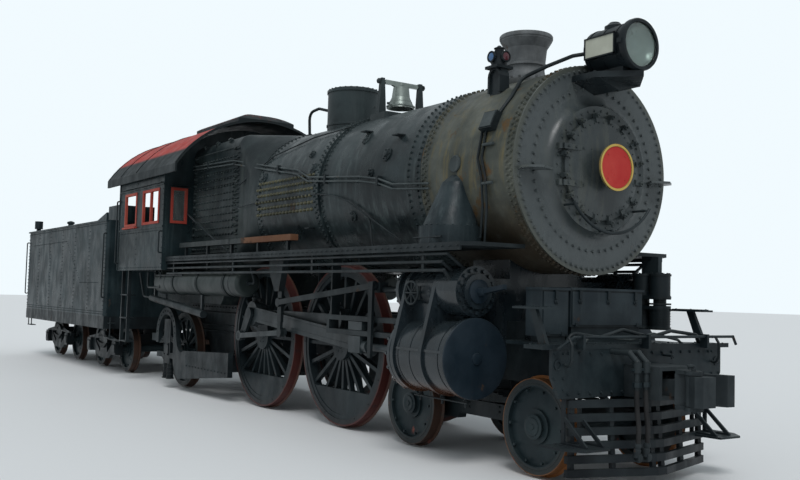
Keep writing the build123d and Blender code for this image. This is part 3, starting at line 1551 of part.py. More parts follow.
# Cab: steel side and front sheets with their window openings.
side_window_xs = ((cab_rear_x + 330, cab_rear_x + 970), (cab_rear_x + 1280, cab_rear_x + 2110))
front_window_y = (1110, 1400)
with BuildPart() as cab_body:
    cab_near = (cab_half_width - cab_wall, cab_half_width)
    with BuildSketch(side_plane(-1, cab_near)):
        with Locations(((cab_front_x + cab_rear_x) / 2, (cab_bottom_z + cab_eave_z) / 2)):
            Rectangle(cab_front_x - cab_rear_x, cab_eave_z - cab_bottom_z)
        for low_x, high_x in side_window_xs:
            with Locations(((low_x + high_x) / 2, (window_bottom_z + window_top_z) / 2)):
                Rectangle(high_x - low_x, window_top_z - window_bottom_z, mode=Mode.SUBTRACT)
    side_plate(cab_near)
    mirror(about=Plane.XZ)
    with BuildSketch(across(cab_front_x - cab_wall)):
        with BuildLine():
            Polyline(
                (-cab_half_width, cab_eave_z),
                (-cab_half_width, cab_bottom_z),
                (cab_half_width, cab_bottom_z),
                (cab_half_width, cab_eave_z),
            )
            ThreePointArc(
                (cab_half_width, cab_eave_z),
                (0, roof_crest_z - roof_thickness - 60),
                (-cab_half_width, cab_eave_z),
            )
        make_face()
        for side in (1, -1):
            with Locations((side * sum(front_window_y) / 2, (window_bottom_z + window_top_z) / 2)):
                Rectangle(front_window_y[1] - front_window_y[0], window_top_z - window_bottom_z,
                          mode=Mode.SUBTRACT)
    extrude(amount=cab_wall)
    with BuildSketch(across(cab_front_x - cab_wall)):
        with Locations((0, (firebox_top_z + cab_bottom_z) / 2 - 200)):
            Rectangle(2 * firebox_half_width, firebox_top_z - cab_bottom_z + 400)
        fillet(vertices().group_by(Axis.Y)[-1], radius=firebox_corner)
    extrude(amount=cab_wall, mode=Mode.SUBTRACT)
save(cab_body.part, "cab_body")

# Cab roof: an arched sheet that overhangs the walls, with eave skirts and a raised ventilator hood.
hood_x = (roof_front_x - 1850, roof_front_x - 30)
hood_half_width = 520
hood_rise = 150
hood_round = 420
with BuildPart() as cab_roof:
    with BuildSketch(across(roof_rear_x)):
        with BuildLine():
            ThreePointArc((roof_half_width, cab_eave_z + 70), (0, roof_crest_z),
                          (-roof_half_width, cab_eave_z + 70))
            Polyline(
                (-roof_half_width, cab_eave_z + 70),
                (-roof_half_width, cab_eave_z - 60),
                (-roof_half_width + roof_thickness, cab_eave_z - 60),
                (-roof_half_width + roof_thickness, cab_eave_z + 60),
            )
            ThreePointArc(
                (-roof_half_width + roof_thickness, cab_eave_z + 60),
                (0, roof_crest_z - roof_thickness),
                (roof_half_width - roof_thickness, cab_eave_z + 60),
            )
            Polyline(
                (roof_half_width - roof_thickness, cab_eave_z + 60),
                (roof_half_width - roof_thickness, cab_eave_z - 60),
                (roof_half_width, cab_eave_z - 60),
                (roof_half_width, cab_eave_z + 70),
            )
        make_face()
    extrude(amount=roof_front_x - roof_rear_x)
    with BuildSketch(across(hood_x[0])):
        with BuildLine():
            Polyline((-hood_half_width, roof_crest_z - 120), (-hood_half_width, roof_crest_z))
            ThreePointArc(
                (-hood_half_width, roof_crest_z),
                (0, roof_crest_z + hood_rise),
                (hood_half_width, roof_crest_z),
            )
            Polyline(
                (hood_half_width, roof_crest_z),
                (hood_half_width, roof_crest_z - 120),
                (-hood_half_width, roof_crest_z - 120),
            )
        make_face()
    extrude(amount=hood_x[1] - hood_x[0])
    with BuildSketch(along(hood_half_width + 10)):
        with BuildLine():
            TangentArc(
                (hood_x[1] - hood_round, roof_crest_z + hood_rise + 2),
                (hood_x[1] + 5, roof_crest_z + 5),
                tangent=(1, 0),
            )
            Polyline(
                (hood_x[1] + 5, roof_crest_z + 5),
                (hood_x[1] + 5, roof_crest_z + hood_rise + 20),
                (hood_x[1] - hood_round, roof_crest_z + hood_rise + 20),
                (hood_x[1] - hood_round, roof_crest_z + hood_rise + 2),
            )
        make_face()
    extrude(amount=2 * hood_half_width + 20, mode=Mode.SUBTRACT)
    with BuildSketch(across(roof_rear_x)):
        with BuildLine():
            ThreePointArc(
                (-roof_half_width + roof_thickness, cab_eave_z + 60),
                (0, roof_crest_z - roof_thickness),
                (roof_half_width - roof_thickness, cab_eave_z + 60),
            )
            Line((roof_half_width - roof_thickness, cab_eave_z + 60),
                 (-roof_half_width + roof_thickness, cab_eave_z + 60))
        make_face()
    extrude(amount=roof_front_x - roof_rear_x, mode=Mode.SUBTRACT)
save(cab_roof.part, "cab_roof")

# Window sashes and panes.
sash_width = 45
with BuildPart() as window_sashes:
    sash_near = (cab_half_width - cab_wall, cab_half_width + 12)
    for low_x, high_x in side_window_xs:
        with BuildSketch(side_plane(-1, sash_near)):
            with Locations(((low_x + high_x) / 2, (window_bottom_z + window_top_z) / 2)):
                Rectangle(high_x - low_x, window_top_z - window_bottom_z)
                Rectangle(high_x - low_x - 2 * sash_width, window_top_z - window_bottom_z - 2 * sash_width,
                          mode=Mode.SUBTRACT)
            if low_x == side_window_xs[1][0]:
                with Locations(((low_x + high_x) / 2, (window_bottom_z + window_top_z) / 2)):
                    Rectangle(sash_width, window_top_z - window_bottom_z)
        side_plate(sash_near)
    mirror(about=Plane.XZ)
    with BuildSketch(across(cab_front_x - cab_wall)):
        for side in (1, -1):
            with Locations((side * sum(front_window_y) / 2, (window_bottom_z + window_top_z) / 2)):
                Rectangle(front_window_y[1] - front_window_y[0], window_top_z - window_bottom_z)
                Rectangle(front_window_y[1] - front_window_y[0] - 2 * sash_width,
                          window_top_z - window_bottom_z - 2 * sash_width, mode=Mode.SUBTRACT)
    extrude(amount=cab_wall + 12)
save(window_sashes.part, "window_sashes")

with BuildPart() as glass:
    with BuildSketch(across(lamp_front_x - 20)):
        with Locations((0, lamp_z)):
            Circle(lamp_radius - 5)
    extrude(amount=8)
    with BuildSketch(across(cab_front_x - cab_wall + 8)):
        for side in (1, -1):
            with Locations((side * sum(front_window_y) / 2, (window_bottom_z + window_top_z) / 2)):
                Rectangle(front_window_y[1] - front_window_y[0] - 2 * sash_width,
                          window_top_z - window_bottom_z - 2 * sash_width)
    extrude(amount=6)
save(glass.part, "glass")

# Cab floor with its carriers on the frame and the step stirrups.
floor_thickness = 40
with BuildPart() as cab_floor:
    with BuildSketch(level(cab_bottom_z)):
        with Locations(((cab_front_x + cab_rear_x) / 2 - cab_wall / 2, 0)):
            Rectangle(cab_front_x - cab_rear_x - cab_wall, 2 * (cab_half_width - cab_wall))
        with Locations(((cab_front_x + backhead_x) / 2, 0)):
            Rectangle(cab_front_x - backhead_x, 2 * firebox_half_width, mode=Mode.SUBTRACT)
    extrude(amount=floor_thickness)
    carrier_near = (frame_y, frame_y + frame_thickness)
    for side in (1, -1):
        with BuildSketch(side_plane(side, carrier_near)):
            with Locations(((frame_rear_x + backhead_x - 60) / 2, (frame_top_z + cab_bottom_z) / 2)):
                Rectangle(backhead_x - 60 - frame_rear_x, cab_bottom_z - frame_top_z)
        side_plate(carrier_near)
        for stirrup_x in (cab_rear_x + 60, cab_rear_x + 400):
            with BuildSketch(side_plane(side, (1380, 1440))):
                with Locations((stirrup_x, (cab_bottom_z + 720) / 2)):
                    Rectangle(40, cab_bottom_z - 720)
            side_plate((1380, 1440))
        for tread_z in (720, 1140, 1560):
            with BuildSketch(level(tread_z)):
                with Locations((cab_rear_x + 230, side * 1370)):
                    Rectangle(380, 160)
            extrude(amount=25)
save(cab_floor.part, "cab_floor")

# Cab fittings: fire door, gauges, throttle lever and the crew's seat boxes.
with BuildPart() as cab_fittings:
    with BuildSketch(across(backhead_x - 50)):
        with Locations((0, 2480)):
            RectangleRounded(560, 430, 120)
        for gauge_y in (-480, -230, 230, 480):
            with Locations((gauge_y, 3420)):
                Circle(95)
        with Locations((0, 3120)):
            Rectangle(1100, 60)
    extrude(amount=50)
    for side in (1, -1):
        with BuildSketch(level(cab_bottom_z + floor_thickness)):
            with Locations((cab_rear_x + 700, side * 1240)):
                Rectangle(620, 480)
        extrude(amount=560)
    with BuildSketch(level(3250)):
        with Locations((backhead_x - 330, -300)):
            SlotOverall(620, 40)
    extrude(amount=40)
    with BuildSketch(across(backhead_x - 120)):
        with Locations((-300, 3270)):
            Rectangle(60, 60)
    extrude(amount=120)
save(cab_fittings.part, "cab_fittings")

# Drawbar between the engine and the tender, below the frames.
with BuildPart() as drawbar:
    with BuildSketch(level(drawbar_z)):
        with Locations(((engine_pin_x + tender_pin_x) / 2, 0)):
            Rectangle(engine_pin_x - tender_pin_x, 130)
        for pin_x in (engine_pin_x, tender_pin_x):
            with Locations((pin_x, 0)):
                Circle(110)
                Circle(drawbar_pin_radius + pin_clearance, mode=Mode.SUBTRACT)
    extrude(amount=drawbar_thickness)
save(drawbar.part, "drawbar")

# Tender frame: side channels, centre sill, end beams, bolsters and the truck centre pins.
sill_top_z = tank_bottom_z
sill_low_z = sill_top_z - tender_sill_depth
bolster_low_z = 985
tender_pin_low_z = 700
centre_sill_half = 170
with BuildPart() as tender_frame:
    tender_middle_x = (tender_front_x + tender_rear_x) / 2
    tender_length = tender_front_x - tender_rear_x
    sill_near = (tank_half_width - 90, tank_half_width - 5)
    with BuildSketch(side_plane(-1, sill_near)):
        with Locations((tender_middle_x, (sill_top_z + sill_low_z) / 2)):
            Rectangle(tender_length, tender_sill_depth)
    side_plate(sill_near)
    mirror(about=Plane.XZ)
    for end_x in (tender_rear_x, tender_front_x - 120):
        with BuildSketch(across(end_x)):
            with Locations((0, (sill_top_z + sill_low_z) / 2)):
                Rectangle(2 * tank_half_width - 10, tender_sill_depth)
        extrude(amount=120)
    with BuildSketch(level(bolster_low_z)):
        with Locations(((tender_pin_x - 160 + tender_rear_x) / 2, 0)):
            Rectangle(tender_pin_x - 160 - tender_rear_x, 2 * centre_sill_half)
        for truck_x in tender_truck_xs:
            with Locations((truck_x, 0)):
                Rectangle(340, 2 * tank_half_width - 60)
    extrude(amount=sill_top_z - bolster_low_z)
    with BuildSketch(level(sill_top_z - 35)):
        with Locations((tender_pin_x - 20, 0)):
            Rectangle(340, 2 * centre_sill_half)
    extrude(amount=35)
    with BuildSketch(level(sill_top_z - 35)):
        with Locations((tender_pin_x, 0)):
            Circle(drawbar_pin_radius)
    extrude(amount=-(sill_top_z - 35 - drawbar_z + 40))
    with BuildSketch(across(tender_front_x - 120)):
        with Locations((0, drawbar_z + drawbar_thickness / 2)):
            Rectangle(320, drawbar_thickness + 50)
    extrude(amount=120, mode=Mode.SUBTRACT)
    with BuildSketch(level(tender_pin_low_z)):
        for truck_x in tender_truck_xs:
            with Locations((truck_x, 0)):
                Circle(pivot_pin_radius)
    extrude(amount=bolster_low_z - tender_pin_low_z)
save(tender_frame.part, "tender_frame")

# Tender tank: riveted water tank around an empty coal space, with a gate at the front.
bunker_x = (tender_rear_x + 2700, tender_front_x - 450)
bunker_half_width = 1120
bunker_floor_z = 1750
gate_half_width = 430
marker_y = 1330
coping_rise = 145
coping_length = 720
board_rise = 340
coal_board_x = (tender_front_x - 1070, bunker_x[1])
coal_board_thickness = 40
with BuildPart() as tender_tank:
    with BuildSketch(level(tank_bottom_z)):
        with Locations((tender_middle_x, 0)):
            RectangleRounded(tender_length, 2 * tank_half_width, 70)
    extrude(amount=tank_top_z - tank_bottom_z)
    with BuildSketch(along(bunker_half_width)):
        with BuildLine():
            Polyline(
                (bunker_x[0], tank_top_z),
                (bunker_x[0] + 1100, bunker_floor_z),
                (bunker_x[1], bunker_floor_z - 250),
                (bunker_x[1], tank_top_z),
                close=True,
            )
        make_face()
    extrude(amount=2 * bunker_half_width, mode=Mode.SUBTRACT)
    with BuildSketch(level(bunker_floor_z - 250)):
        with Locations(((bunker_x[1] + tender_front_x) / 2, 0)):
            Rectangle(tender_front_x - bunker_x[1], 2 * gate_half_width)
    extrude(amount=tank_top_z - bunker_floor_z + 250, mode=Mode.SUBTRACT)
    for side in (1, -1):
        coping_near = (tank_half_width - 40, tank_half_width)
        with BuildSketch(side_plane(side, coping_near)):
            with BuildLine():
                Polyline(
                    (tender_front_x - coping_length, tank_top_z - 10),
                    (tender_front_x - coping_length, tank_top_z),
                    (tender_front_x - 70, tank_top_z + coping_rise),
                    (tender_front_x - 70, tank_top_z - 10),
                    close=True,
                )
            make_face()
        side_plate(coping_near)
        board_near = (bunker_half_width, bunker_half_width + coal_board_thickness)
        with BuildSketch(side_plane(side, board_near)):
            with Locations((sum(coal_board_x) / 2, tank_top_z + board_rise / 2)):
                Rectangle(coal_board_x[1] - coal_board_x[0], board_rise)
        side_plate(board_near)
        with BuildSketch(across(bunker_x[1])):
            with Locations((side * (gate_half_width + board_near[1]) / 2, tank_top_z + board_rise / 2)):
                Rectangle(board_near[1] - gate_half_width, board_rise)
        extrude(amount=coal_board_thickness)
    with BuildSketch(level(tank_top_z)):
        with Locations((bunker_x[0] - 1000, 0)):
            Circle(330)
        for side in (1, -1):
            with Locations((tender_rear_x + 170, side * marker_y)):
                Rectangle(90, 90)
    extrude(amount=90)
    with BuildSketch(level(tank_top_z + 90)):
        for side in (1, -1):
            with Locations((tender_rear_x + 170, side * marker_y)):
                Circle(95)
    extrude(amount=190)
save(tender_tank.part, "tender_tank")

# Tender trucks: arch-bar side frames with journal boxes, and a bolster with the centre bearing.
truck_near = (950, 1025)
box_near = (930, 1085)
side_bar_half = tender_truck_base / 2 + 210
for number, truck_x in enumerate(tender_truck_xs, 1):
    with BuildPart() as tender_truck:
        axle_xs = (truck_x - tender_truck_base / 2, truck_x + tender_truck_base / 2)
        with BuildSketch(side_plane(-1, truck_near)):
            with BuildLine():
                Polyline(
                    (truck_x - side_bar_half, 640),
                    (truck_x - 420, 720),
                    (truck_x + 420, 720),
                    (truck_x + side_bar_half, 640),
                    (truck_x + side_bar_half, 580),
                    (truck_x + 330, 250),
                    (truck_x - 330, 250),
                    (truck_x - side_bar_half, 580),
                    close=True,
                )
            make_face()
            for offset in (-420, 420):
                with BuildLine():
                    Polyline(
                        (truck_x + offset - 190 * (1 if offset > 0 else -1), 640),
                        (truck_x + offset - 190 * (1 if offset > 0 else -1), 350),
                        (truck_x + offset + 150 * (1 if offset > 0 else -1), 560),
                        (truck_x + offset + 150 * (1 if offset > 0 else -1), 620),
                        close=True,
                    )
                make_face(mode=Mode.SUBTRACT)
        side_plate(truck_near)
        with BuildSketch(side_plane(-1, box_near)):
            for axle_x in axle_xs:
                with Locations((axle_x, tender_axle_z)):
                    RectangleRounded(230, 270, 30)
        side_plate(box_near)
        mirror(about=Plane.XZ)
        with BuildSketch(level(430)):
            with Locations((truck_x, 0)):
                Rectangle(280, 2 * truck_near[0])
        extrude(amount=300)
        with BuildSketch(level(730)):
            with Locations((truck_x, 0)):
                Circle(180)
        extrude(amount=bolster_low_z - 730 - truck_bearing_gap)
        with BuildSketch(level(430)):
            with Locations((truck_x, 0)):
                Circle(pivot_pin_radius + bearing_clearance)
        extrude(amount=600, mode=Mode.SUBTRACT)
        with BuildSketch(along(1070)):
            for axle_x in axle_xs:
                with Locations((axle_x, tender_axle_z)):
                    Circle(journal_radius + bearing_clearance)
        extrude(amount=2140, mode=Mode.SUBTRACT)
    save(tender_truck.part, "tender_truck_" + str(number))

# Pipes hung under the running boards, with their clips, the feed pipe below the cab,
# the rail round the foot of the smokebox door and the two train pipe ends at the front.
pipe_radius = 17
pipe_y = board_outer_y - 35
pipe_x = (board_rear_x + 20, driver_1_x + 2850)
clip_count = 4
clip_width = 40
# Columns: drop below the board, x of the elbow, y and z of the end on the valve chest
pipe_table = ((70, 3000, 1200, 1982), (150, 2905, 1262, 1950), (235, 2950, 1330, 1868))
feed_pipe_radius = 58
feed_pipe_y = 1290
feed_pipe_ends = ((backhead_x, 1540), (driver_2_x - 1140, 1325))
feed_strap_x = backhead_x + 150
rail_radius = 16
rail_ring_radius = 655
rail_x = smokebox_front_x + front_plate + door_ring_rise + 180
rail_arc = 110
post_ring_radius = door_ring_radius - 122
post_foot_x = smokebox_front_x + front_plate + door_ring_rise
hose_x = driver_1_x + 4550
hose_ys = (-420, -300)
hose_radius = 22
cock_top_z = 1172
nipple_low_z = 905
nipple_radius = 26
with BuildPart() as piping:
    for side in (1, -1):
        for drop, elbow_x, end_y, end_z in pipe_table:
            pipe_z = board_z - drop
            pipe_run([
                (pipe_x[0], side * pipe_y, pipe_z),
                (driver_1_x + elbow_x, side * pipe_y, pipe_z),
                (driver_1_x + elbow_x, side * end_y, end_z),
            ], pipe_radius)
        for number in range(clip_count):
            clip_x = pipe_x[0] + 250 + number * (pipe_x[1] - pipe_x[0] - 500 - clip_width) / (clip_count - 1)
            with BuildSketch(across(clip_x)):
                with Locations((side * (pipe_y - 14), board_z - 130)):
                    Rectangle(28, 260)
            extrude(amount=clip_width)
        pipe_run([(x, side * feed_pipe_y, z) for x, z in feed_pipe_ends], feed_pipe_radius)
        with BuildSketch(across(feed_strap_x)):
            with Locations((side * feed_pipe_y, (feed_pipe_ends[0][1] + cab_bottom_z) / 2)):
                Rectangle(40, cab_bottom_z - feed_pipe_ends[0][1])
        extrude(amount=50)
        with BuildSketch(across(feed_pipe_ends[1][0] - 160)):
            with Locations((side * (feed_pipe_y + reservoir_y) / 2, (feed_pipe_ends[1][1] + reservoir_z) / 2)):
                Rectangle(40, reservoir_z - feed_pipe_ends[1][1])
            with Locations((side * reservoir_y, reservoir_z)):
                Circle(reservoir_radius, mode=Mode.SUBTRACT)
        extrude(amount=50)
    with BuildSketch(across(casting_flange_xs[1])):
        for side in (1, -1):
            with Locations((side * valve_y, valve_z)):
                Circle(valve_head_radius)
    extrude(amount=valve_front_x - casting_flange_xs[1], mode=Mode.SUBTRACT)
    rail_start = radians(270 - rail_arc / 2)
    with BuildSketch(Plane(
        origin=(rail_x, rail_ring_radius * cos(rail_start), boiler_z + rail_ring_radius * sin(rail_start)),
        z_dir=(0, -sin(rail_start), cos(rail_start)),
    )):
        Circle(rail_radius)
    revolve(axis=Axis((0, 0, boiler_z), (1, 0, 0)), revolution_arc=rail_arc)
    for angle in (270 - rail_arc / 2 + 4, 270, 270 + rail_arc / 2 - 4):
        post = (post_ring_radius * cos(radians(angle)), boiler_z + post_ring_radius * sin(radians(angle)))
        with BuildSketch(across(post_foot_x)):
            with Locations(post):
                Circle(rail_radius - 4)
        extrude(amount=rail_x - post_foot_x)
    for hose_y in hose_ys:
        pipe_run([
            (beam_front_x, hose_y, cock_top_z + 60),
            (hose_x - 90, hose_y, cock_top_z + 60),
            (hose_x, hose_y, cock_top_z - 20),
            (hose_x, hose_y, nipple_low_z),
        ], nipple_radius)
        with BuildSketch(level(cock_top_z - 110)):
            with Locations((hose_x, hose_y)):
                Circle(42)
        extrude(amount=90)
save(piping.part, "piping")

# Air hoses: two rubber hoses that hang free from the train pipe ends, each with a coupling at its foot.
# Columns: distance forward of the nipple, height
hose_route = ((0, nipple_low_z), (0, 735), (40, 540), (15, 380))
hose_points = [Vector(hose_x + reach, 0, z) for reach, z in hose_route]
hose_runs = [end - start for start, end in zip(hose_points, hose_points[1:])]
hose_radii = []
for before, after in zip(hose_runs, hose_runs[1:]):
    half_turn = radians(before.get_angle(after)) / 2
    hose_radii.append(0.45 * min(before.length, after.length) * cos(half_turn) / sin(half_turn))
print("hose bend radii", [round(radius) for radius in hose_radii])
for hose_y, ending in zip(hose_ys, ("outer", "inner")):
    with BuildPart() as air_hose:
        with BuildLine() as hose_line:
            FilletPolyline(*[Vector(point.X, hose_y, point.Z) for point in hose_points], radius=hose_radii)
        with BuildSketch(Plane(origin=(hose_x, hose_y, nipple_low_z), z_dir=(0, 0, -1))):
            Circle(hose_radius)
        sweep()
    print("hose length", round(sum(edge.length for edge in hose_line.edges())), "volume length",
          round(air_hose.part.volume / (3.14159 * hose_radius ** 2)))
    save(air_hose.part, "air_hose_" + ending)

coupling_radius = 34
coupling_length = 70
with BuildPart() as hose_couplings:
    foot = hose_points[-1]
    fall = hose_runs[-1].normalized()
    for hose_y in hose_ys:
        with BuildSketch(Plane(origin=(foot.X, hose_y, foot.Z), z_dir=fall)):
            Circle(coupling_radius)
        extrude(amount=coupling_length)
        with BuildSketch(Plane(origin=Vector(foot.X, hose_y + 24, foot.Z) + fall * coupling_length,
                               z_dir=(0, -1, 0))):
            RectangleRounded(110, 70, 25)
        extrude(amount=48)
save(hose_couplings.part, "hose_couplings")
print("built")
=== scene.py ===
"""The looks of an old standard-gauge steam locomotive and its tender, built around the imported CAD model."""
from math import asin, cos, pi, radians, sin, sqrt, tau

import bmesh
import bpy
from mathutils import Matrix, Vector


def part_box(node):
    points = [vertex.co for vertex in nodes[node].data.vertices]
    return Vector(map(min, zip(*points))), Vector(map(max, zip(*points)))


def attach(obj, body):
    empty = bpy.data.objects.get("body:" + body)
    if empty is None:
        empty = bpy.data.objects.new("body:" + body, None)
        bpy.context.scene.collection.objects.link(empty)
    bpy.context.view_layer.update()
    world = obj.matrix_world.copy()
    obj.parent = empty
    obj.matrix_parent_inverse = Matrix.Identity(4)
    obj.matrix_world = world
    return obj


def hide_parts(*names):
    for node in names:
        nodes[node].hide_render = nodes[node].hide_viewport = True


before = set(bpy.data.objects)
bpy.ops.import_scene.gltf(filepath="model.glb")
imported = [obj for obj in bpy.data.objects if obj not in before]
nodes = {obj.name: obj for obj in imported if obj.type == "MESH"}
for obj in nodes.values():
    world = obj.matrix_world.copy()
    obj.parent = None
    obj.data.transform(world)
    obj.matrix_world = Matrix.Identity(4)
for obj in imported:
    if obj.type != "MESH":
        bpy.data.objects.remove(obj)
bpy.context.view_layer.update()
scene = bpy.context.scene
scene.view_settings.view_transform = "Standard"

# Stand and light: a plain pale floor under an even white sky, with one soft sun from the front
# right, and the camera low beside the track in front of the engine.
camera_place = Vector((15.333, -6.982, 1.706))
camera_turn = radians(55.901)
camera_lift = radians(3.334)
camera_roll = radians(1.520)
camera_lens = 42.29

camera_data = bpy.data.cameras.new("camera")
camera_data.lens = camera_lens
camera_data.sensor_width = 36
camera_data.clip_end = 500
camera = bpy.data.objects.new("camera", camera_data)
scene.collection.objects.link(camera)
look = -Vector((sin(camera_turn) * cos(camera_lift), -cos(camera_turn) * cos(camera_lift), -sin(camera_lift)))
level_right = Vector((cos(camera_turn), sin(camera_turn), 0))
level_up = level_right.cross(look)
image_right = level_right * cos(camera_roll) + level_up * sin(camera_roll)
image_up = level_up * cos(camera_roll) - level_right * sin(camera_roll)
camera_axes = Matrix((image_right, image_up, -look)).transposed().to_4x4()
camera.matrix_world = Matrix.Translation(camera_place) @ camera_axes
scene.camera = camera

sky = bpy.data.worlds.new("sky")
scene.world = sky
sky.use_nodes = True
sky_light = sky.node_tree.nodes["Background"]
sky_light.inputs["Color"].default_value = (0.88, 0.96, 1.0, 1)
sky_path = sky.node_tree.nodes.new("ShaderNodeLightPath")
seen = sky.node_tree.nodes.new("ShaderNodeMath")
seen.operation = "MAXIMUM"
sky_strength = sky.node_tree.nodes.new("ShaderNodeMapRange")
sky_strength.inputs["To Min"].default_value = 0.55
sky_strength.inputs["To Max"].default_value = 1.0
sky_links = sky.node_tree.links
sky_links.new(sky_path.outputs["Is Camera Ray"], seen.inputs[0])
sky_links.new(sky_path.outputs["Is Transmission Ray"], seen.inputs[1])
sky_links.new(seen.outputs[0], sky_strength.inputs["Value"])
sky_links.new(sky_strength.outputs["Result"], sky_light.inputs["Strength"])

sun_data = bpy.data.lights.new("sun", "SUN")
sun_data.energy = 1.3
sun_data.angle = radians(25)
sun = bpy.data.objects.new("sun", sun_data)
sun.rotation_euler = (radians(38), radians(12), radians(40))
scene.collection.objects.link(sun)

floor_half = 150
floor_mesh = bpy.data.meshes.new("floor")
floor_mesh.from_pydata([(-floor_half, -floor_half, 0), (floor_half, -floor_half, 0),
                        (floor_half, floor_half, 0), (-floor_half, floor_half, 0)], [], [(0, 1, 2, 3)])
floor = bpy.data.objects.new("floor", floor_mesh)
scene.collection.objects.link(floor)
floor_finish = bpy.data.materials.new("pale_floor")
floor_finish.use_nodes = True
floor_finish.node_tree.nodes["Principled BSDF"].inputs["Base Color"].default_value = (0.8, 0.81, 0.82, 1)
floor_finish.node_tree.nodes["Principled BSDF"].inputs["Roughness"].default_value = 0.9
floor_mesh.materials.append(floor_finish)


# Air hoses: two rubber hoses that hang free from the train pipe nipples, each clamped on a cast
# coupling. The weathered finish made here serves every painted and bare surface of the engine.
def weathered(name, paint, faded, rust, rust_share=0.3, streak_share=0.45, rough=(0.42, 0.72), grain=0.25,
              dust_and_skylight=0.2, dust_and_skylight_colour=(0.05, 0.062, 0.064), streak_colour=None, metal=0.0, zones=(),
              hub=(0, 0, 0), hub_mask=(1, 0, 1), shine=0.2):
    """Old paint or metal: mottled, streaked downwards, paler on top with dust and painted sky light, and
    rusting through in patches.
    Each zone is (measure, where it starts, where it is full, colour, share)."""
    finish = bpy.data.materials.new(name)
    finish.use_nodes = True
    tree = finish.node_tree
    shader = tree.nodes["Principled BSDF"]
    shader.inputs["Metallic"].default_value = metal
    shader.inputs["Specular IOR Level"].default_value = shine
    coordinates = tree.nodes.new("ShaderNodeTexCoord")
    where = coordinates.outputs["Object"]

    def noise(scale, detail, stretch=(1, 1, 1), shift=0.0):
        mapping = tree.nodes.new("ShaderNodeMapping")
        mapping.inputs["Scale"].default_value = stretch
        mapping.inputs["Location"].default_value = (shift, shift * 0.7, shift * 1.3)
        tree.links.new(where, mapping.inputs["Vector"])
        texture = tree.nodes.new("ShaderNodeTexNoise")
        texture.inputs["Scale"].default_value = scale
        texture.inputs["Detail"].default_value = detail
        texture.inputs["Roughness"].default_value = 0.62
        tree.links.new(mapping.outputs[0], texture.inputs["Vector"])
        return texture.outputs["Fac"]

    def between(value, low, high, out_low=0.0, out_high=1.0):
        spread = tree.nodes.new("ShaderNodeMapRange")
        spread.interpolation_type = "SMOOTHSTEP"
        if low > high:
            low, high, out_low, out_high = high, low, out_high, out_low
        for socket, number in (("From Min", low), ("From Max", high), ("To Min", out_low),
                               ("To Max", out_high)):
            spread.inputs[socket].default_value = number
        tree.links.new(value, spread.inputs["Value"])
        return spread.outputs["Result"]

    def mixed(share, first, second):
        mix = tree.nodes.new("ShaderNodeMix")
        mix.data_type = "RGBA"
        tree.links.new(share, mix.inputs[0])
        for socket, colour in ((mix.inputs[6], first), (mix.inputs[7], second)):
            if isinstance(colour, tuple):
                socket.default_value = (*colour, 1)
            else:
                tree.links.new(colour, socket)
        return mix.outputs[2]

    def product(first, second):
        times = tree.nodes.new("ShaderNodeMath")
        times.operation = "MULTIPLY"
        tree.links.new(first, times.inputs[0])
        tree.links.new(second, times.inputs[1])
        return times.outputs[0]

    facing = tree.nodes.new("ShaderNodeSeparateXYZ")
    tree.links.new(coordinates.outputs["Normal"], facing.inputs[0])
    place = tree.nodes.new("ShaderNodeSeparateXYZ")
    tree.links.new(where, place.inputs[0])
    measures = {"x": place.outputs["X"], "y": place.outputs["Y"], "z": place.outputs["Z"],
                "up": facing.outputs["Z"], "front": facing.outputs["X"]}
    if any(zone[0] == "radius" for zone in zones):
        from_hub = tree.nodes.new("ShaderNodeVectorMath")
        from_hub.operation = "SUBTRACT"
        from_hub.inputs[1].default_value = hub
        flat = tree.nodes.new("ShaderNodeVectorMath")
        flat.operation = "MULTIPLY"
        flat.inputs[1].default_value = hub_mask
        reach = tree.nodes.new("ShaderNodeVectorMath")
        reach.operation = "LENGTH"
        tree.links.new(where, from_hub.inputs[0])
        tree.links.new(from_hub.outputs[0], flat.inputs[0])
        tree.links.new(flat.outputs[0], reach.inputs[0])
        measures["radius"] = reach.outputs["Value"]

    colour = mixed(between(noise(1.7, 6), 0.38, 0.66), paint, faded)
    streaks = product(between(noise(15.0, 5, (1, 1, 0.055), 3.1), 0.46, 0.74, 0.0, streak_share),
                      between(noise(0.9, 3, (1, 1, 1), 7.7), 0.35, 0.6))
    colour = mixed(streaks, colour, streak_colour or faded)
    for measure, start, full, zone_colour, share in zones:
        mask = product(between(measures[measure], start, full, 0.0, share),
                       between(noise(9.0, 6, (1, 1, 1), 11.3), 0.28, 0.5, 0.5, 1.0))
        colour = mixed(mask, colour, zone_colour)
    # Up-facing surfaces are mixed towards a pale colour: partly real dust, partly painted sky light on the
    # tops.
    dust_and_skylight_share = product(between(facing.outputs["Z"], 0.2, 1.0, 0.0, dust_and_skylight),
                    between(noise(4.0, 8, (1, 1, 1), 1.9), 0.3, 0.7, 0.35, 1.0))
    colour = mixed(dust_and_skylight_share, colour, dust_and_skylight_colour)
    patches = product(between(noise(3.1, 9, (1, 1, 0.8), 5.3), 0.68 - 0.3 * rust_share,
                              0.74 - 0.28 * rust_share),
                      between(noise(24.0, 5, (1, 1, 1), 2.3), 0.3, 0.6, 0.45, 1.0))
    colour = mixed(patches, colour, rust)
    tree.links.new(colour, shader.inputs["Base Color"])
    rougher = tree.nodes.new("ShaderNodeMath")
    rougher.operation = "MULTIPLY_ADD"
    tree.links.new(patches, rougher.inputs[0])
    rougher.inputs[1].default_value = 0.3
    tree.links.new(between(noise(5.0, 6, (1, 1, 0.5), 8.8), 0.3, 0.7, rough[0], rough[1]), rougher.inputs[2])
    rougher.use_clamp = True
    tree.links.new(rougher.outputs[0], shader.inputs["Roughness"])
    bump = tree.nodes.new("ShaderNodeBump")
    bump.inputs["Strength"].default_value = grain
    bump.inputs["Distance"].default_value = 0.004
    tree.links.new(noise(38.0, 7), bump.inputs["Height"])
    tree.links.new(bump.outputs["Normal"], shader.inputs["Normal"])
    return finish


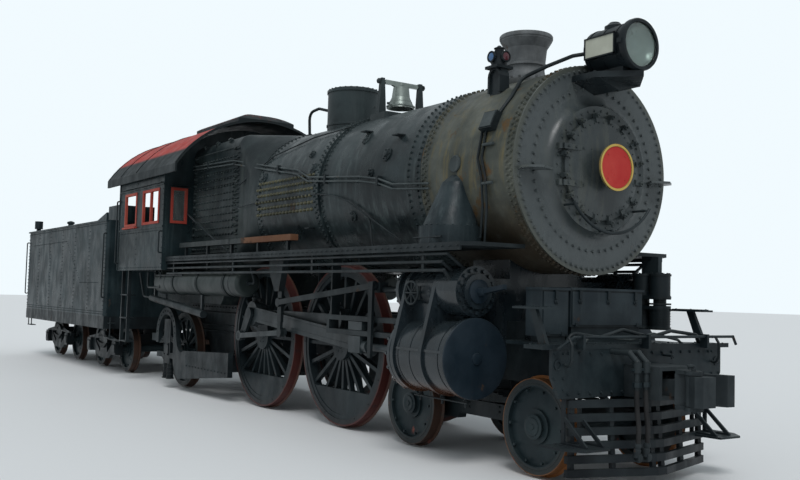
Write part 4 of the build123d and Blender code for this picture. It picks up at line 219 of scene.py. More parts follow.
def turned(shape, profile, centre, axis, sides=28, paint=0):
    """A form turned about a line through centre: profile is a run of (distance along the axis, radius)."""
    along = Vector(axis).normalized()
    across = along.orthogonal().normalized()
    over = along.cross(across)
    rings = []
    for reach, radius in profile:
        middle = Vector(centre) + along * reach
        if radius == 0:
            rings.append([shape.verts.new(middle)])
        else:
            rings.append([shape.verts.new(middle
                                          + (across * cos(tau * i / sides)
                                             + over * sin(tau * i / sides)) * radius) for i in range(sides)])
    if profile[0] == profile[-1]:
        for vertex in rings.pop():
            shape.verts.remove(vertex)
        rings.append(rings[0])
    for near, far in zip(rings, rings[1:]):
        for i in range(sides):
            corners = dict.fromkeys((near[i % len(near)], near[(i + 1) % len(near)],
                                     far[(i + 1) % len(far)], far[i % len(far)]))
            if len(corners) > 2:
                shape.faces.new(list(corners)).material_index = paint


def band(shape, inner, outer, width, centre, axis, sides=28, paint=0):
    """A flat band round a line."""
    turned(shape, ((0, inner), (0, outer), (width, outer), (width, inner), (0, inner)), centre, axis, sides,
           paint)


def disc(shape, radius, thickness, centre, axis, sides=28, paint=0):
    """A round disc or rod that starts at centre and runs along the axis."""
    turned(shape, ((0, 0), (0, radius), (thickness, radius), (thickness, 0)), centre, axis, sides, paint)


def plate(shape, outline, thickness, paint=0):
    """A flat plate: its outline in space, and the vector from one face to the other."""
    near = [shape.verts.new(Vector(point)) for point in outline]
    far = [shape.verts.new(Vector(point) + Vector(thickness)) for point in outline]
    shape.faces.new(near).material_index = paint
    shape.faces.new(list(reversed(far))).material_index = paint
    for i in range(len(near)):
        after = (i + 1) % len(near)
        shape.faces.new((near[i], far[i], far[after], near[after])).material_index = paint


def bar(shape, corner, opposite, paint=0):
    """A square-edged bar between two opposite corners, given in any order."""
    (x0, x1), (y0, y1), (z0, z1) = (sorted(pair) for pair in zip(corner, opposite))
    plate(shape, [(x0, y0, z0), (x1, y0, z0), (x1, y1, z0), (x0, y1, z0)], (0, 0, z1 - z0), paint)


def finished(shape, name, body, finishes, soften=0.0):
    """The made shape as one piece on a body, with its faces outward and its edges softened."""
    bmesh.ops.recalc_face_normals(shape, faces=shape.faces)
    data = bpy.data.meshes.new(name)
    shape.to_mesh(data)
    shape.free()
    for finish in finishes:
        data.materials.append(finish)
    piece = bpy.data.objects.new(name, data)
    scene.collection.objects.link(piece)
    if soften:
        edges = piece.modifiers.new("edges", "BEVEL")
        edges.width = soften
        edges.segments = 2
        edges.limit_method = "ANGLE"
        edges.angle_limit = radians(50)
        softened = bpy.data.meshes.new_from_object(piece.evaluated_get(bpy.context.evaluated_depsgraph_get()))
        piece.modifiers.clear()
        piece.data = softened
    piece.data.polygons.foreach_set("use_smooth", [True] * len(piece.data.polygons))
    piece.data.set_sharp_from_angle(angle=radians(38))
    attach(piece, body)
    return piece


hose_x, hose_ys = 9.5, (-0.42, -0.30)
hose_route = ((0, 0.905), (0, 0.735), (0.04, 0.54), (0.015, 0.38))
hose_radius = 0.022
rubber = weathered("hose_rubber", (0.012, 0.012, 0.013), (0.03, 0.03, 0.03), (0.06, 0.045, 0.035),
                   rust_share=0.1, rough=(0.6, 0.85), grain=0.5)
cast_iron = weathered("cast_iron", (0.014, 0.019, 0.022), (0.034, 0.042, 0.046), (0.07, 0.04, 0.025),
                      rust_share=0.12, rough=(0.55, 0.8), grain=0.5)
for hose_y, hose_name in zip(hose_ys, ("outer", "inner")):
    hose_line = bpy.data.curves.new("air_hose_" + hose_name + "_rubber", "CURVE")
    hose_line.dimensions = "3D"
    hose_spline = hose_line.splines.new("NURBS")
    hose_spline.points.add(len(hose_route) - 1)
    for point, (reach, height) in zip(hose_spline.points, hose_route):
        point.co = (hose_x + reach, hose_y, height, 1)
    hose_spline.order_u = 3
    hose_spline.use_endpoint_u = True
    hose_line.bevel_depth = hose_radius
    hose_line.bevel_resolution = 5
    hose_line.use_fill_caps = True
    hose_line.materials.append(rubber)
    hose = bpy.data.objects.new("air_hose_" + hose_name + "_rubber", hose_line)
    scene.collection.objects.link(hose)
    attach(hose, "engine")
    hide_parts("air_hose_" + hose_name)

    coupling = bmesh.new()
    fall = (-0.025, 0, -0.16)
    foot = (hose_x + hose_route[-1][0], hose_y, hose_route[-1][1])
    turned(coupling, ((-0.055, 0), (-0.055, 0.027), (-0.04, 0.031), (-0.022, 0.031), (-0.018, 0.027),
                      (-0.004, 0.027), (0, 0.033), (0.02, 0.034), (0.045, 0.026), (0.07, 0.03), (0.07, 0)),
           foot, fall, 20)
    gasket_centre = (9.509, hose_y + 0.022, 0.303)
    turned(coupling, ((-0.024, 0), (-0.024, 0.03), (-0.016, 0.04), (0.014, 0.04), (0.02, 0.034),
                      (0.022, 0.02), (0.016, 0.018), (0.016, 0)), gasket_centre, (0, -1, 0), 24)
    plate(coupling, [(9.535, hose_y - 0.01, 0.335), (9.546, hose_y - 0.01, 0.325),
                     (9.546, hose_y - 0.01, 0.276), (9.53, hose_y - 0.01, 0.262),
                     (9.52, hose_y - 0.01, 0.275)], (0, 0.03, 0))
    plate(coupling, [(9.474, hose_y - 0.016, 0.33), (9.49, hose_y - 0.016, 0.34),
                     (9.49, hose_y - 0.016, 0.27), (9.474, hose_y - 0.016, 0.28)], (0, 0.012, 0))
    gladhand = finished(coupling, "hose_coupling_" + hose_name, "engine", [cast_iron],
                        soften=0.002)
    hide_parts("hose_couplings")


# Boiler shell: riveted steel courses under old black paint that rain has bleached in streaks,
# with staybolts over the flat firebox sides. Round heads stand along every seam.
forward, rearward, upward = (1, 0, 0), (-1, 0, 0), (0, 0, 1)
boiler_z = 3.028
front_course_radius, rear_course_radius = 1.062, 1.07
firebox_half, firebox_front_x = 1.0, 2.05


def stud_tree():
    """Geometry Nodes that set a tapered head on each point, along its own facing direction."""
    tree = bpy.data.node_groups.new("stud_heads", "GeometryNodeTree")
    for socket, kind in (("Geometry", "NodeSocketGeometry"), ("Across", "NodeSocketFloat"),
                         ("Tall", "NodeSocketFloat"), ("Crown", "NodeSocketFloat"),
                         ("Sides", "NodeSocketInt"), ("Finish", "NodeSocketMaterial")):
        tree.interface.new_socket(socket, in_out="INPUT", socket_type=kind)
    tree.interface.new_socket("Geometry", in_out="OUTPUT", socket_type="NodeSocketGeometry")
    given = tree.nodes.new("NodeGroupInput")
    facing = tree.nodes.new("GeometryNodeInputNamedAttribute")
    facing.data_type = "FLOAT_VECTOR"
    facing.inputs["Name"].default_value = "facing"
    turn = tree.nodes.new("FunctionNodeAlignRotationToVector")
    turn.axis = "Z"
    head = tree.nodes.new("GeometryNodeMeshCone")
    stand = tree.nodes.new("GeometryNodeInstanceOnPoints")
    real = tree.nodes.new("GeometryNodeRealizeInstances")
    coat = tree.nodes.new("GeometryNodeSetMaterial")
    done = tree.nodes.new("NodeGroupOutput")
    for start, end in ((given.outputs["Geometry"], stand.inputs["Points"]),
                       (facing.outputs[0], turn.inputs["Vector"]),
                       (given.outputs["Across"], head.inputs["Radius Bottom"]),
                       (given.outputs["Crown"], head.inputs["Radius Top"]),
                       (given.outputs["Tall"], head.inputs["Depth"]),
                       (given.outputs["Sides"], head.inputs["Vertices"]),
                       (head.outputs["Mesh"], stand.inputs["Instance"]),
                       (turn.outputs[0], stand.inputs["Rotation"]), (stand.outputs[0], real.inputs[0]),
                       (real.outputs[0], coat.inputs["Geometry"]),
                       (given.outputs["Finish"], coat.inputs["Material"]), (coat.outputs[0], done.inputs[0])):
        tree.links.new(start, end)
    return tree


stud_heads = stud_tree()


def grown(shape, points, edges, facings, tree, settings, paint):
    """Add to the shape what a Geometry Nodes tree grows from a few points and edges."""
    data = bpy.data.meshes.new("seed")
    data.from_pydata(points, edges, [])
    if facings:
        data.attributes.new("facing", "FLOAT_VECTOR", "POINT").data.foreach_set(
            "vector", [number for facing in facings for number in facing])
    seed = bpy.data.objects.new("seed", data)
    scene.collection.objects.link(seed)
    growth = seed.modifiers.new("growth", "NODES")
    growth.node_group = tree
    for name, value in settings.items():
        growth[tree.interface.items_tree[name].identifier] = value
    grown_mesh = bpy.data.meshes.new_from_object(seed.evaluated_get(bpy.context.evaluated_depsgraph_get()))
    first = len(shape.faces)
    shape.from_mesh(grown_mesh)
    shape.faces.ensure_lookup_table()
    for face in shape.faces[first:]:
        face.material_index = paint
    bpy.data.objects.remove(seed)
    bpy.data.meshes.remove(data)
    bpy.data.meshes.remove(grown_mesh)


def studs(shape, places, across, tall, finish, paint=0, sides=8, crown=0.62):
    """Rivet or bolt heads at (point, facing) places, each sunk a little into what it stands on."""
    sink = 0.003
    facings = [facing for _, facing in places]
    feet = [Vector(point) - Vector(facing).normalized() * sink for point, facing in places]
    grown(shape, feet, [], facings, stud_heads, {"Across": across / 2, "Tall": tall + sink,
                                                 "Crown": across / 2 * crown, "Sides": sides,
                                                 "Finish": finish}, paint)


def nuts(shape, places, across, tall, finish, paint=0):
    """Six-sided nuts at (point, facing) places."""
    studs(shape, places, across, tall, finish, paint, sides=6, crown=0.95)


def hoop(x, radius, count, centre_y=0.0, centre_z=boiler_z, offset=0.0, facing=None, start=0.0, end=tau):
    """Places round a circle in a plane across the engine, facing outward unless a facing is given."""
    places = []
    for i in range(count):
        angle = start + (i + offset) / count * (end - start)
        out = Vector((0, sin(angle), cos(angle)))
        places.append((Vector((x, centre_y, centre_z)) + out * radius, facing or out))
    return places


def line(first, last, pitch, facing):
    """Places in a straight row, evenly spaced at about the pitch."""
    first, last = Vector(first), Vector(last)
    count = max(1, round((last - first).length / pitch))
    return [(first.lerp(last, i / count), facing) for i in range(count + 1)]


def dress(finish, *names):
    """Give CAD nodes a finish."""
    for name in names:
        data = nodes[name].data
        data.materials.clear()
        data.materials.append(finish)


rust_brown = (0.075, 0.04, 0.022)
# Everything in this paint is painted lighter from z 3.15 up to 3.75: a painted sky reflection on the barrel's
# top.
boiler_paint = weathered("boiler_paint", (0.009, 0.014, 0.016), (0.024, 0.035, 0.038), rust_brown,
                         rust_share=0.0, streak_share=0.6, rough=(0.22, 0.48),
                         streak_colour=(0.09, 0.115, 0.115), dust_and_skylight=0.3,
                         zones=(("z", 3.15, 3.75, (0.045, 0.058, 0.06), 0.4),))
firebox_paint = weathered("firebox_paint", (0.009, 0.014, 0.016), (0.024, 0.034, 0.036), rust_brown,
                          rust_share=0.04, streak_share=0.5, rough=(0.28, 0.52),
                          streak_colour=(0.07, 0.085, 0.075), dust_and_skylight=0.3)
staybolt_paint = weathered("staybolt_paint", (0.06, 0.06, 0.04), (0.12, 0.115, 0.07), rust_brown,
                           rust_share=0.1, rough=(0.4, 0.6))
dress(boiler_paint, "boiler_barrel", "steam_dome", "bell_stand")
dress(firebox_paint, "firebox")
seam_rivets = []
for row_x, row_radius, row_offset in ((6.72, 1.062, 0), (6.90, 1.062, 0.5), (4.59, 1.082, 0),
                                      (4.645, 1.082, 0.5), (2.86, 1.07, 0), (2.93, 1.07, 0.5),
                                      (4.74, 1.05, 0)):
    seam_rivets += hoop(row_x, row_radius, 96, offset=row_offset)
boiler_heads = bmesh.new()
studs(boiler_heads, seam_rivets, 0.036, 0.020, boiler_paint)
firebox_heads, bolt_columns = [], []
for side in (-1, 1):
    face, facing = side * firebox_half, (0, side, 0)
    for row in range(14):
        row_z = 2.36 + 0.11 * row
        firebox_heads += line((0.30, face, row_z), (1.95, face, row_z), 0.11, facing)
    for row_z in (2.30, 3.92):
        firebox_heads += line((0.26, face, row_z), (2.0, face, row_z), 0.06, facing)
    for bolt_x in (2.0, 2.04):
        firebox_heads += line((bolt_x, face, 2.36), (bolt_x, face, 3.9), 0.07, facing)
    for column_x in (0.34, 1.92):
        bolt_columns += line((column_x, face, 2.36), (column_x, face, 3.9), 0.12, facing)
for crown_y in (-0.7, -0.35, 0.0, 0.35, 0.7):
    firebox_heads += line((0.30, crown_y, 4.118), (1.98, crown_y, 4.118), 0.12, upward)
studs(boiler_heads, firebox_heads, 0.040, 0.024, firebox_paint, paint=1)
chamber_bolts = []
for side in (-1, 1):
    for row, row_z in enumerate((2.80, 2.89, 2.98, 3.07, 3.16, 3.25)):
        for i in range(17):
            bolt_x = 2.88 + 0.1 * (i + 0.5 * (row % 2))
            rise = row_z - boiler_z
            out = Vector((0, side * sqrt(rear_course_radius ** 2 - rise ** 2), rise)).normalized()
            chamber_bolts.append((Vector((bolt_x, 0, boiler_z)) + out * rear_course_radius, out))
studs(boiler_heads, chamber_bolts, 0.052, 0.030, staybolt_paint, paint=2)
studs(boiler_heads, bolt_columns, 0.06, 0.045, firebox_paint, paint=1)

washout_table = ((5.52, 3.61, 0.07, 1.05), (6.19, 3.34, 0.085, 1.05), (5.90, 3.14, 0.06, 1.05),
                 (5.44, 2.66, 0.07, 1.05), (4.46, 3.34, 0.08, 1.07), (2.98, 3.34, 0.085, 1.07),
                 (4.24, 3.56, 0.06, 1.07))
for side in (-1, 1):
    for washout_x, washout_z, washout_radius, shell_radius in washout_table:
        lean = asin((washout_z - boiler_z) / shell_radius)
        out = Vector((0, side * cos(lean), sin(lean)))
        middle = Vector((washout_x, 0, boiler_z)) + out * (shell_radius - 0.006)
        turned(boiler_heads, ((0, 0), (0, washout_radius), (0.018, washout_radius),
                              (0.024, washout_radius * 0.9), (0.024, washout_radius * 0.5),
                              (0.045, washout_radius * 0.42), (0.05, 0)), middle, out, 20)
        over = Vector(forward).cross(out)
        nuts(boiler_heads,
             [(middle + out * 0.022
               + (Vector(forward) * cos(tau * i / 6) + over * sin(tau * i / 6)) * washout_radius * 0.75, out)
              for i in range(6)], 0.022, 0.012, boiler_paint)
for side in (-1, 1):
    for corner_x in (0.6, 1.1, 1.6):
        turned(boiler_heads, ((0, 0), (0, 0.045), (0.03, 0.045), (0.034, 0.03), (0.055, 0.03), (0.055, 0)),
               (corner_x, side * 0.945, 4.055), (0, side, 1), 16, 1)
rib_rows = ((3.39, 0.03), (3.50, 0.03), (3.61, 0.03), (3.75, 0.03), (2.62, 0.05))
for side in (-1, 1):
    for rib_z, rib_tall in rib_rows:
        bar(boiler_heads, (0.26, side * 0.995, rib_z - rib_tall / 2),
            (2.02, side * 1.018, rib_z + rib_tall / 2), 1)
finished(boiler_heads, "boiler_seam_heads", "engine", [boiler_paint, firebox_paint, staybolt_paint])

# Smokebox: the front drum, baked tan by heat and running with rust, riveted to the barrel and to
# the pressed ring that carries the round door. Nuts stand on the door's dogs.
# The drum is painted darker and browner towards its bottom (z 2.8 down to 2.3), and darker towards its rear
# (x 7.45 back to 7.05).
smokebox_paint = weathered("smokebox_paint", (0.05, 0.056, 0.048), (0.115, 0.12, 0.10), (0.10, 0.058, 0.024),
                           rust_share=0.3, streak_share=0.85, rough=(0.38, 0.65),
                           streak_colour=(0.16, 0.125, 0.05), dust_and_skylight=0.25, grain=0.4,
                           zones=(("z", 2.8, 2.3, (0.045, 0.03, 0.018), 0.75),
                                  ("x", 7.45, 7.05, (0.035, 0.042, 0.04), 0.5)))
# The front is painted paler in a band round the door (radius 0.62 to 0.76), and paler along its outer rim
# (radius 1.0 up) as a painted highlight.
front_paint = weathered("smokebox_front_paint", (0.024, 0.031, 0.033), (0.046, 0.056, 0.058), rust_brown,
                        rust_share=0.02, streak_share=0.5, rough=(0.22, 0.42),
                        streak_colour=(0.085, 0.09, 0.07), shine=0.45,
                        zones=(("radius", 0.62, 0.76, (0.08, 0.092, 0.095), 0.6),
                               ("radius", 1.0, 1.06, (0.065, 0.068, 0.05), 0.6)), hub=(0, 0, boiler_z),
                        hub_mask=(0, 1, 1))
dress(smokebox_paint, "smokebox")
dress(front_paint, "smokebox_front", "smokebox_door")
smokebox_heads = bmesh.new()
smokebox_radius = 1.06
smokebox_seams = []
for seam_x, seam_offset in ((7.0, 0), (7.055, 0.5), (8.40, 0), (8.455, 0.5)):
    smokebox_seams += hoop(seam_x, smokebox_radius, 104, offset=seam_offset)
studs(smokebox_heads, smokebox_seams, 0.038, 0.022, smokebox_paint)
studs(smokebox_heads, hoop(8.52, 1.015, 84, facing=forward) + hoop(8.52, 0.83, 56, facing=forward), 0.040,
      0.022, front_paint, 1)
studs(smokebox_heads, hoop(8.61, 0.595, 40, facing=forward), 0.03, 0.014, front_paint, 1)
finished(smokebox_heads, "smokebox_rivets", "engine", [smokebox_paint, front_paint])

door_heads = bmesh.new()
nuts(door_heads, hoop(8.664, 0.548, 16, facing=forward, offset=0.5), 0.052, 0.026, front_paint)
studs(door_heads, hoop(8.69, 0.548, 16, facing=forward, offset=0.5), 0.024, 0.02, front_paint, crown=0.8)
studs(door_heads, hoop(8.648, 0.47, 44, facing=forward), 0.022, 0.012, front_paint)
for strap_z in (-0.18, 0.18):
    bar(door_heads, (8.640, -0.56, boiler_z + strap_z - 0.028), (8.675, -0.16, boiler_z + strap_z + 0.028))
    studs(door_heads, line((8.675, -0.5, boiler_z + strap_z), (8.675, -0.2, boiler_z + strap_z), 0.1,
                           forward), 0.03, 0.014, front_paint)
turned(door_heads, ((0, 0), (0, 0.09), (0.012, 0.09), (0.02, 0.075), (0.03, 0.065), (0.03, 0)),
       (8.70, 0, boiler_z), forward)
finished(door_heads, "door_bolts", "smokebox_door", [front_paint])

# Number plate: a blank cast disc on the door's post, its face red enamel inside a yellow rim. Four
# screws hold it.
plate_paint = weathered("plate_paint", (0.40, 0.022, 0.02), (0.46, 0.045, 0.035), (0.2, 0.02, 0.015),
                        rust_share=0.08, dust_and_skylight=0.05, streak_share=0.1, rough=(0.25, 0.4), grain=0.1,
                        hub=(0, 0, boiler_z), hub_mask=(0, 1, 1),
                        zones=(("radius", 0.208, 0.212, (0.50, 0.36, 0.09), 1.0),
                               ("front", 0.5, 0.1, (0.1, 0.09, 0.05), 0.8)))
dress(plate_paint, "number_plate")
plate_screws = bmesh.new()
studs(plate_screws, hoop(8.834, 0.17, 4, facing=forward, offset=0.5), 0.018, 0.006, plate_paint)
finished(plate_screws, "plate_screws", "smokebox_door", [plate_paint])

# Chimney, dome and bell: a cast chimney with a rolled lip, a riveted dome whose lid is bolted down,
# and a bronze bell swinging in a cast yoke. All three stand on the centre line.
# The chimney is painted darker towards its foot, from z 4.15 down to 4.03.
stack_paint = weathered("stack_paint", (0.07, 0.076, 0.08), (0.16, 0.17, 0.175), rust_brown, rust_share=0.05,
                        rough=(0.45, 0.7), streak_share=0.6, streak_colour=(0.05, 0.052, 0.05),
                        zones=(("z", 4.15, 4.03, (0.035, 0.038, 0.036), 0.8),))
bell_finish = weathered("bell_finish", (0.17, 0.20, 0.185), (0.34, 0.385, 0.36), (0.08, 0.08, 0.05),
                        rust_share=0.1, rough=(0.22, 0.42), metal=0.6, shine=0.5)
dress(stack_paint, "stack")
dress(bell_finish, "bell")
top_heads = bmesh.new()
stack_x, dome_x, bell_x = 7.45, 3.74, 4.95
turned(top_heads, ((4.585, 0.286), (4.60, 0.300), (4.63, 0.300), (4.645, 0.290), (4.645, 0.25), (4.60, 0.25),
                   (4.585, 0.286)), (stack_x, 0, 0), upward, 48)
turned(top_heads, ((4.285, 0.22), (4.292, 0.236), (4.312, 0.236), (4.32, 0.22), (4.285, 0.22)),
       (stack_x, 0, 0), upward, 48)
base_bolts = []
for i in range(20):
    angle = tau * i / 20
    bolt_x, bolt_y = stack_x + 0.30 * cos(angle), 0.30 * sin(angle)
    base_bolts.append(((bolt_x, bolt_y, 4.125), (cos(angle) * 0.4, sin(angle) * 0.4, 1)))
nuts(top_heads, base_bolts, 0.03, 0.02, stack_paint)
dome_bolts = [((dome_x + 0.372 * cos(tau * i / 28), 0.372 * sin(tau * i / 28), 4.615), upward)
              for i in range(28)]
nuts(top_heads, dome_bolts, 0.028, 0.02, boiler_paint, 1)
turned(top_heads, ((0, 0), (0, 0.05), (0.02, 0.05), (0.02, 0.028), (0.05, 0.024), (0.05, 0)),
       (dome_x, 0, 4.632), upward, 20, 1)
turned(top_heads, ((4.09, 0.38), (4.096, 0.392), (4.12, 0.392), (4.126, 0.38), (4.09, 0.38)), (dome_x, 0, 0),
       upward, 56, 1)
nuts(top_heads, [((bell_x + x, y, 4.198), upward) for x in (-0.17, 0.17) for y in (-0.31, 0.31)], 0.04, 0.025,
      boiler_paint, 1)
for side in (-1, 1):
    turned(top_heads, ((0, 0), (0, 0.036), (0.016, 0.036), (0.022, 0.024), (0.03, 0.02), (0.03, 0)),
           (bell_x, side * 0.352, 4.53), (0, side, 0), 20, 1)
finished(top_heads, "chimney_and_dome_fittings", "engine", [stack_paint, boiler_paint])

bell_fittings = bmesh.new()
turned(bell_fittings, ((4.212, 0.183), (4.218, 0.193), (4.232, 0.193), (4.238, 0.178), (4.212, 0.183)),
       (bell_x, 0, 0), upward, 48)
turned(bell_fittings, ((4.28, 0.147), (4.284, 0.153), (4.292, 0.152), (4.296, 0.144), (4.28, 0.147)),
       (bell_x, 0, 0), upward, 48)
turned(bell_fittings, ((4.575, 0), (4.575, 0.026), (4.545, 0.03), (4.53, 0.03), (4.53, 0)),
       (bell_x, 0, -0.02), upward, 20)
finished(bell_fittings, "bell_beads", "bell", [bell_finish])

# Lamps: a drum headlight with a glazed rim on its pointed shelf, blank boards on the drum's sides,
# and a class lamp with coloured lenses on each shoulder of the smokebox.
lamp_paint = weathered("lamp_paint", (0.007, 0.010, 0.012), (0.018, 0.024, 0.027), rust_brown,
                       rust_share=0.02, rough=(0.22, 0.45), streak_share=0.5, dust_and_skylight=0.3)
board_paint = weathered("blank_board_paint", (0.42, 0.43, 0.36), (0.55, 0.56, 0.48), (0.2, 0.16, 0.1),
                        rust_share=0.15, rough=(0.5, 0.7), streak_share=0.4, streak_colour=(0.25, 0.24, 0.19))
reflector = weathered("lamp_reflector", (0.17, 0.21, 0.20), (0.26, 0.30, 0.28), (0.14, 0.15, 0.12),
                      rust_share=0.15, rough=(0.25, 0.45), metal=0.4, shine=0.5, dust_and_skylight=0)


def lens_finish(name, colour):
    """Old coloured lamp glass with a dusty face."""
    return weathered(name, colour, tuple(min(1, 1.6 * part + 0.02) for part in colour), colour,
                     rust_share=0.05, rough=(0.08, 0.2), grain=0.05, streak_share=0.2, shine=0.6, dust_and_skylight=0.1)


red_lens = lens_finish("red_lens", (0.055, 0.006, 0.012))
blue_lens = lens_finish("blue_lens", (0.03, 0.09, 0.2))
dress(lamp_paint, "lamps")
lamp_z = 4.212
lamp_front_x = 9.13
lamp_fittings = bmesh.new()
turned(lamp_fittings, ((-0.115, 0), (-0.11, 0.08), (-0.085, 0.15), (-0.05, 0.195), (-0.02, 0.214),
                       (-0.02, 0.222), (-0.118, 0.222), (-0.118, 0)), (lamp_front_x, 0, lamp_z), forward, 48,
       2)
turned(lamp_fittings, ((-0.05, 0.250), (-0.05, 0.260), (-0.01, 0.260), (0.006, 0.252), (0.006, 0.222),
                       (-0.008, 0.222), (-0.008, 0.250), (-0.05, 0.250)), (lamp_front_x, 0, lamp_z), forward,
       56)
for ring_x in (8.62, 8.80, 8.98):
    band(lamp_fittings, 0.23, 0.238, 0.014, (ring_x, 0, lamp_z), forward, 56)
turned(lamp_fittings, ((0.2, 0), (0.2, 0.10), (0.25, 0.10), (0.26, 0.08), (0.29, 0.05), (0.29, 0)),
       (8.78, 0, lamp_z), upward, 28)
bar(lamp_fittings, (9.075, -0.285, 4.19), (9.12, -0.248, 4.235))
bar(lamp_fittings, (9.06, 0.244, 4.16), (9.115, 0.272, 4.26))
for side in (-1, 1):
    bar(lamp_fittings, (8.63, side * 0.246, 4.115), (9.01, side * 0.256, 4.309), 1)
    for rim_low, rim_high in (((8.618, 4.105), (9.022, 4.119)), ((8.618, 4.305), (9.022, 4.319)),
                              ((8.618, 4.105), (8.632, 4.319)), ((9.008, 4.105), (9.022, 4.319))):
        bar(lamp_fittings, (rim_low[0], side * 0.250, rim_low[1]), (rim_high[0], side * 0.264, rim_high[1]))
nuts(lamp_fittings, [((x, y, 3.95), upward) for x in (8.62, 8.8) for y in (-0.29, 0.29)], 0.03, 0.018,
     lamp_paint)
finished(lamp_fittings, "headlight_fittings", "engine", [lamp_paint, board_paint, reflector])

class_fittings = bmesh.new()
class_x, class_y, class_z = 7.75, 0.64, 4.235
for side in (-1, 1):
    middle = Vector((class_x, side * class_y, class_z))
    for outward, reach, paint in ((forward, 0.113, 1), ((0, side, 0), 0.110, 2), (rearward, 0.083, 1)):
        turned(class_fittings, ((0, 0.054), (0, 0.062), (0.012, 0.062), (0.016, 0.050), (0.004, 0.050),
                                (0, 0.054)), middle + Vector(outward) * (reach - 0.006), outward, 24)
        turned(class_fittings, ((-0.02, 0), (-0.02, 0.05), (0.002, 0.05), (0.012, 0.034), (0.016, 0)),
               middle + Vector(outward) * (reach - 0.004), outward, 24, paint)
    turned(class_fittings, ((0.095, 0.04), (0.1, 0.058), (0.108, 0.058), (0.12, 0.03), (0.135, 0.016),
                            (0.135, 0), (0.095, 0), (0.095, 0.04)), middle, upward, 24)
    arch_inner, arch_outer = [], []
    for i in range(9):
        angle = pi * i / 8
        arch_inner.append((middle.x + 0.072 * cos(angle), middle.y - side * 0.06, 4.03 + 0.072 * sin(angle)))
        arch_outer.append((middle.x + 0.100 * cos(angle), middle.y - side * 0.06, 4.03 + 0.100 * sin(angle)))
    for i in range(8):
        plate(class_fittings, [arch_inner[i], arch_outer[i], arch_outer[i + 1], arch_inner[i + 1]],
              (0, side * 0.13, 0))
    for leg_x in (-0.1, 0.072):
        bar(class_fittings, (middle.x + leg_x, middle.y - side * 0.06, 3.86),
            (middle.x + leg_x + 0.028, middle.y + side * 0.07, 4.035))
finished(class_fittings, "class_lamp_lenses", "engine", [lamp_paint, red_lens, blue_lens])


# Boiler piping: thin iron lines clipped along the barrel, the whistle with its steam pipe, the wires
# to the lamps with their junction box, and a small blank medallion on each side of the smokebox.
def pipe_tree():
    """Geometry Nodes that lay a round tube along each chain of edges, its corners bent to a radius."""
    tree = bpy.data.node_groups.new("bent_tubes", "GeometryNodeTree")
    for socket, kind in (("Geometry", "NodeSocketGeometry"), ("Radius", "NodeSocketFloat"),
                         ("Bend", "NodeSocketFloat"), ("Sides", "NodeSocketInt"),
                         ("Finish", "NodeSocketMaterial")):
        tree.interface.new_socket(socket, in_out="INPUT", socket_type=kind)
    tree.interface.new_socket("Geometry", in_out="OUTPUT", socket_type="NodeSocketGeometry")
    given = tree.nodes.new("NodeGroupInput")
    chain = tree.nodes.new("GeometryNodeMeshToCurve")
    bend = tree.nodes.new("GeometryNodeFilletCurve")
    bend.mode = "POLY"
    bend.inputs["Count"].default_value = 4
    bend.inputs["Limit Radius"].default_value = True
    section = tree.nodes.new("GeometryNodeCurvePrimitiveCircle")
    tube = tree.nodes.new("GeometryNodeCurveToMesh")
    tube.inputs["Fill Caps"].default_value = True
    real = tree.nodes.new("GeometryNodeRealizeInstances")
    coat = tree.nodes.new("GeometryNodeSetMaterial")
    done = tree.nodes.new("NodeGroupOutput")
    for start, end in ((given.outputs["Geometry"], chain.inputs["Mesh"]),
                       (chain.outputs[0], bend.inputs["Curve"]),
                       (given.outputs["Bend"], bend.inputs["Radius"]),
                       (given.outputs["Sides"], section.inputs["Resolution"]),
                       (given.outputs["Radius"], section.inputs["Radius"]),
                       (bend.outputs[0], tube.inputs["Curve"]),
                       (section.outputs[0], tube.inputs["Profile Curve"]), (tube.outputs[0], real.inputs[0]),
                       (real.outputs[0], coat.inputs["Geometry"]),
                       (given.outputs["Finish"], coat.inputs["Material"]), (coat.outputs[0], done.inputs[0])):
        tree.links.new(start, end)
    return tree


bent_tubes = pipe_tree()


def pipes(shape, routes, radius, finish, paint=0, bend=0.06, sides=10):
    """Round pipes or rods along routes of points."""
    points, edges = [], []
    for route in routes:
        edges += [(len(points) + i, len(points) + i + 1) for i in range(len(route) - 1)]
        points += [tuple(point) for point in route]
    grown(shape, points, edges, None, bent_tubes,
          {"Radius": radius, "Bend": bend, "Sides": sides, "Finish": finish}, paint)


def beside_boiler(x, z, proud=0.03, side=-1):
    """A point just off the barrel or the firebox side at a height."""
    if x < firebox_front_x:
        return (x, side * (firebox_half + proud), z)
    shell = rear_course_radius if x < 4.70 else front_course_radius
    return (x, side * sqrt((shell + proud) ** 2 - (z - boiler_z) ** 2), z)


dark_iron = weathered("dark_iron", (0.008, 0.012, 0.014), (0.022, 0.029, 0.032), (0.055, 0.032, 0.02),
                      rust_share=0.12, rough=(0.3, 0.55), dust_and_skylight=0.3)
pale_pipe = weathered("pale_pipe", (0.04, 0.05, 0.052), (0.08, 0.095, 0.097), (0.09, 0.06, 0.03),
                      rust_share=0.15, rough=(0.4, 0.65))
boiler_lines = bmesh.new()
sand_pipe_table = ((0.26, 3.72), (1.87, 3.66), (2.8, 3.50), (3.43, 3.40), (4.05, 3.30), (4.42, 3.17),
                   (4.88, 3.13), (5.71, 3.06), (6.13, 3.0), (6.44, 2.91), (6.84, 2.88), (7.14, 2.86))
for line_shift in (0.0, 0.055):
    pipes(boiler_lines, [[beside_boiler(x, z + line_shift, 0.028) for x, z in sand_pipe_table]], 0.012,
          pale_pipe, 1)
low_line_table = ((2.1, 2.95), (2.74, 2.98), (3.47, 3.0), (4.08, 3.0), (4.70, 2.98), (5.08, 2.93),
                  (5.39, 2.85))
high_line_table = ((2.2, 3.3), (3.0, 3.68), (3.9, 3.86), (4.75, 3.9))
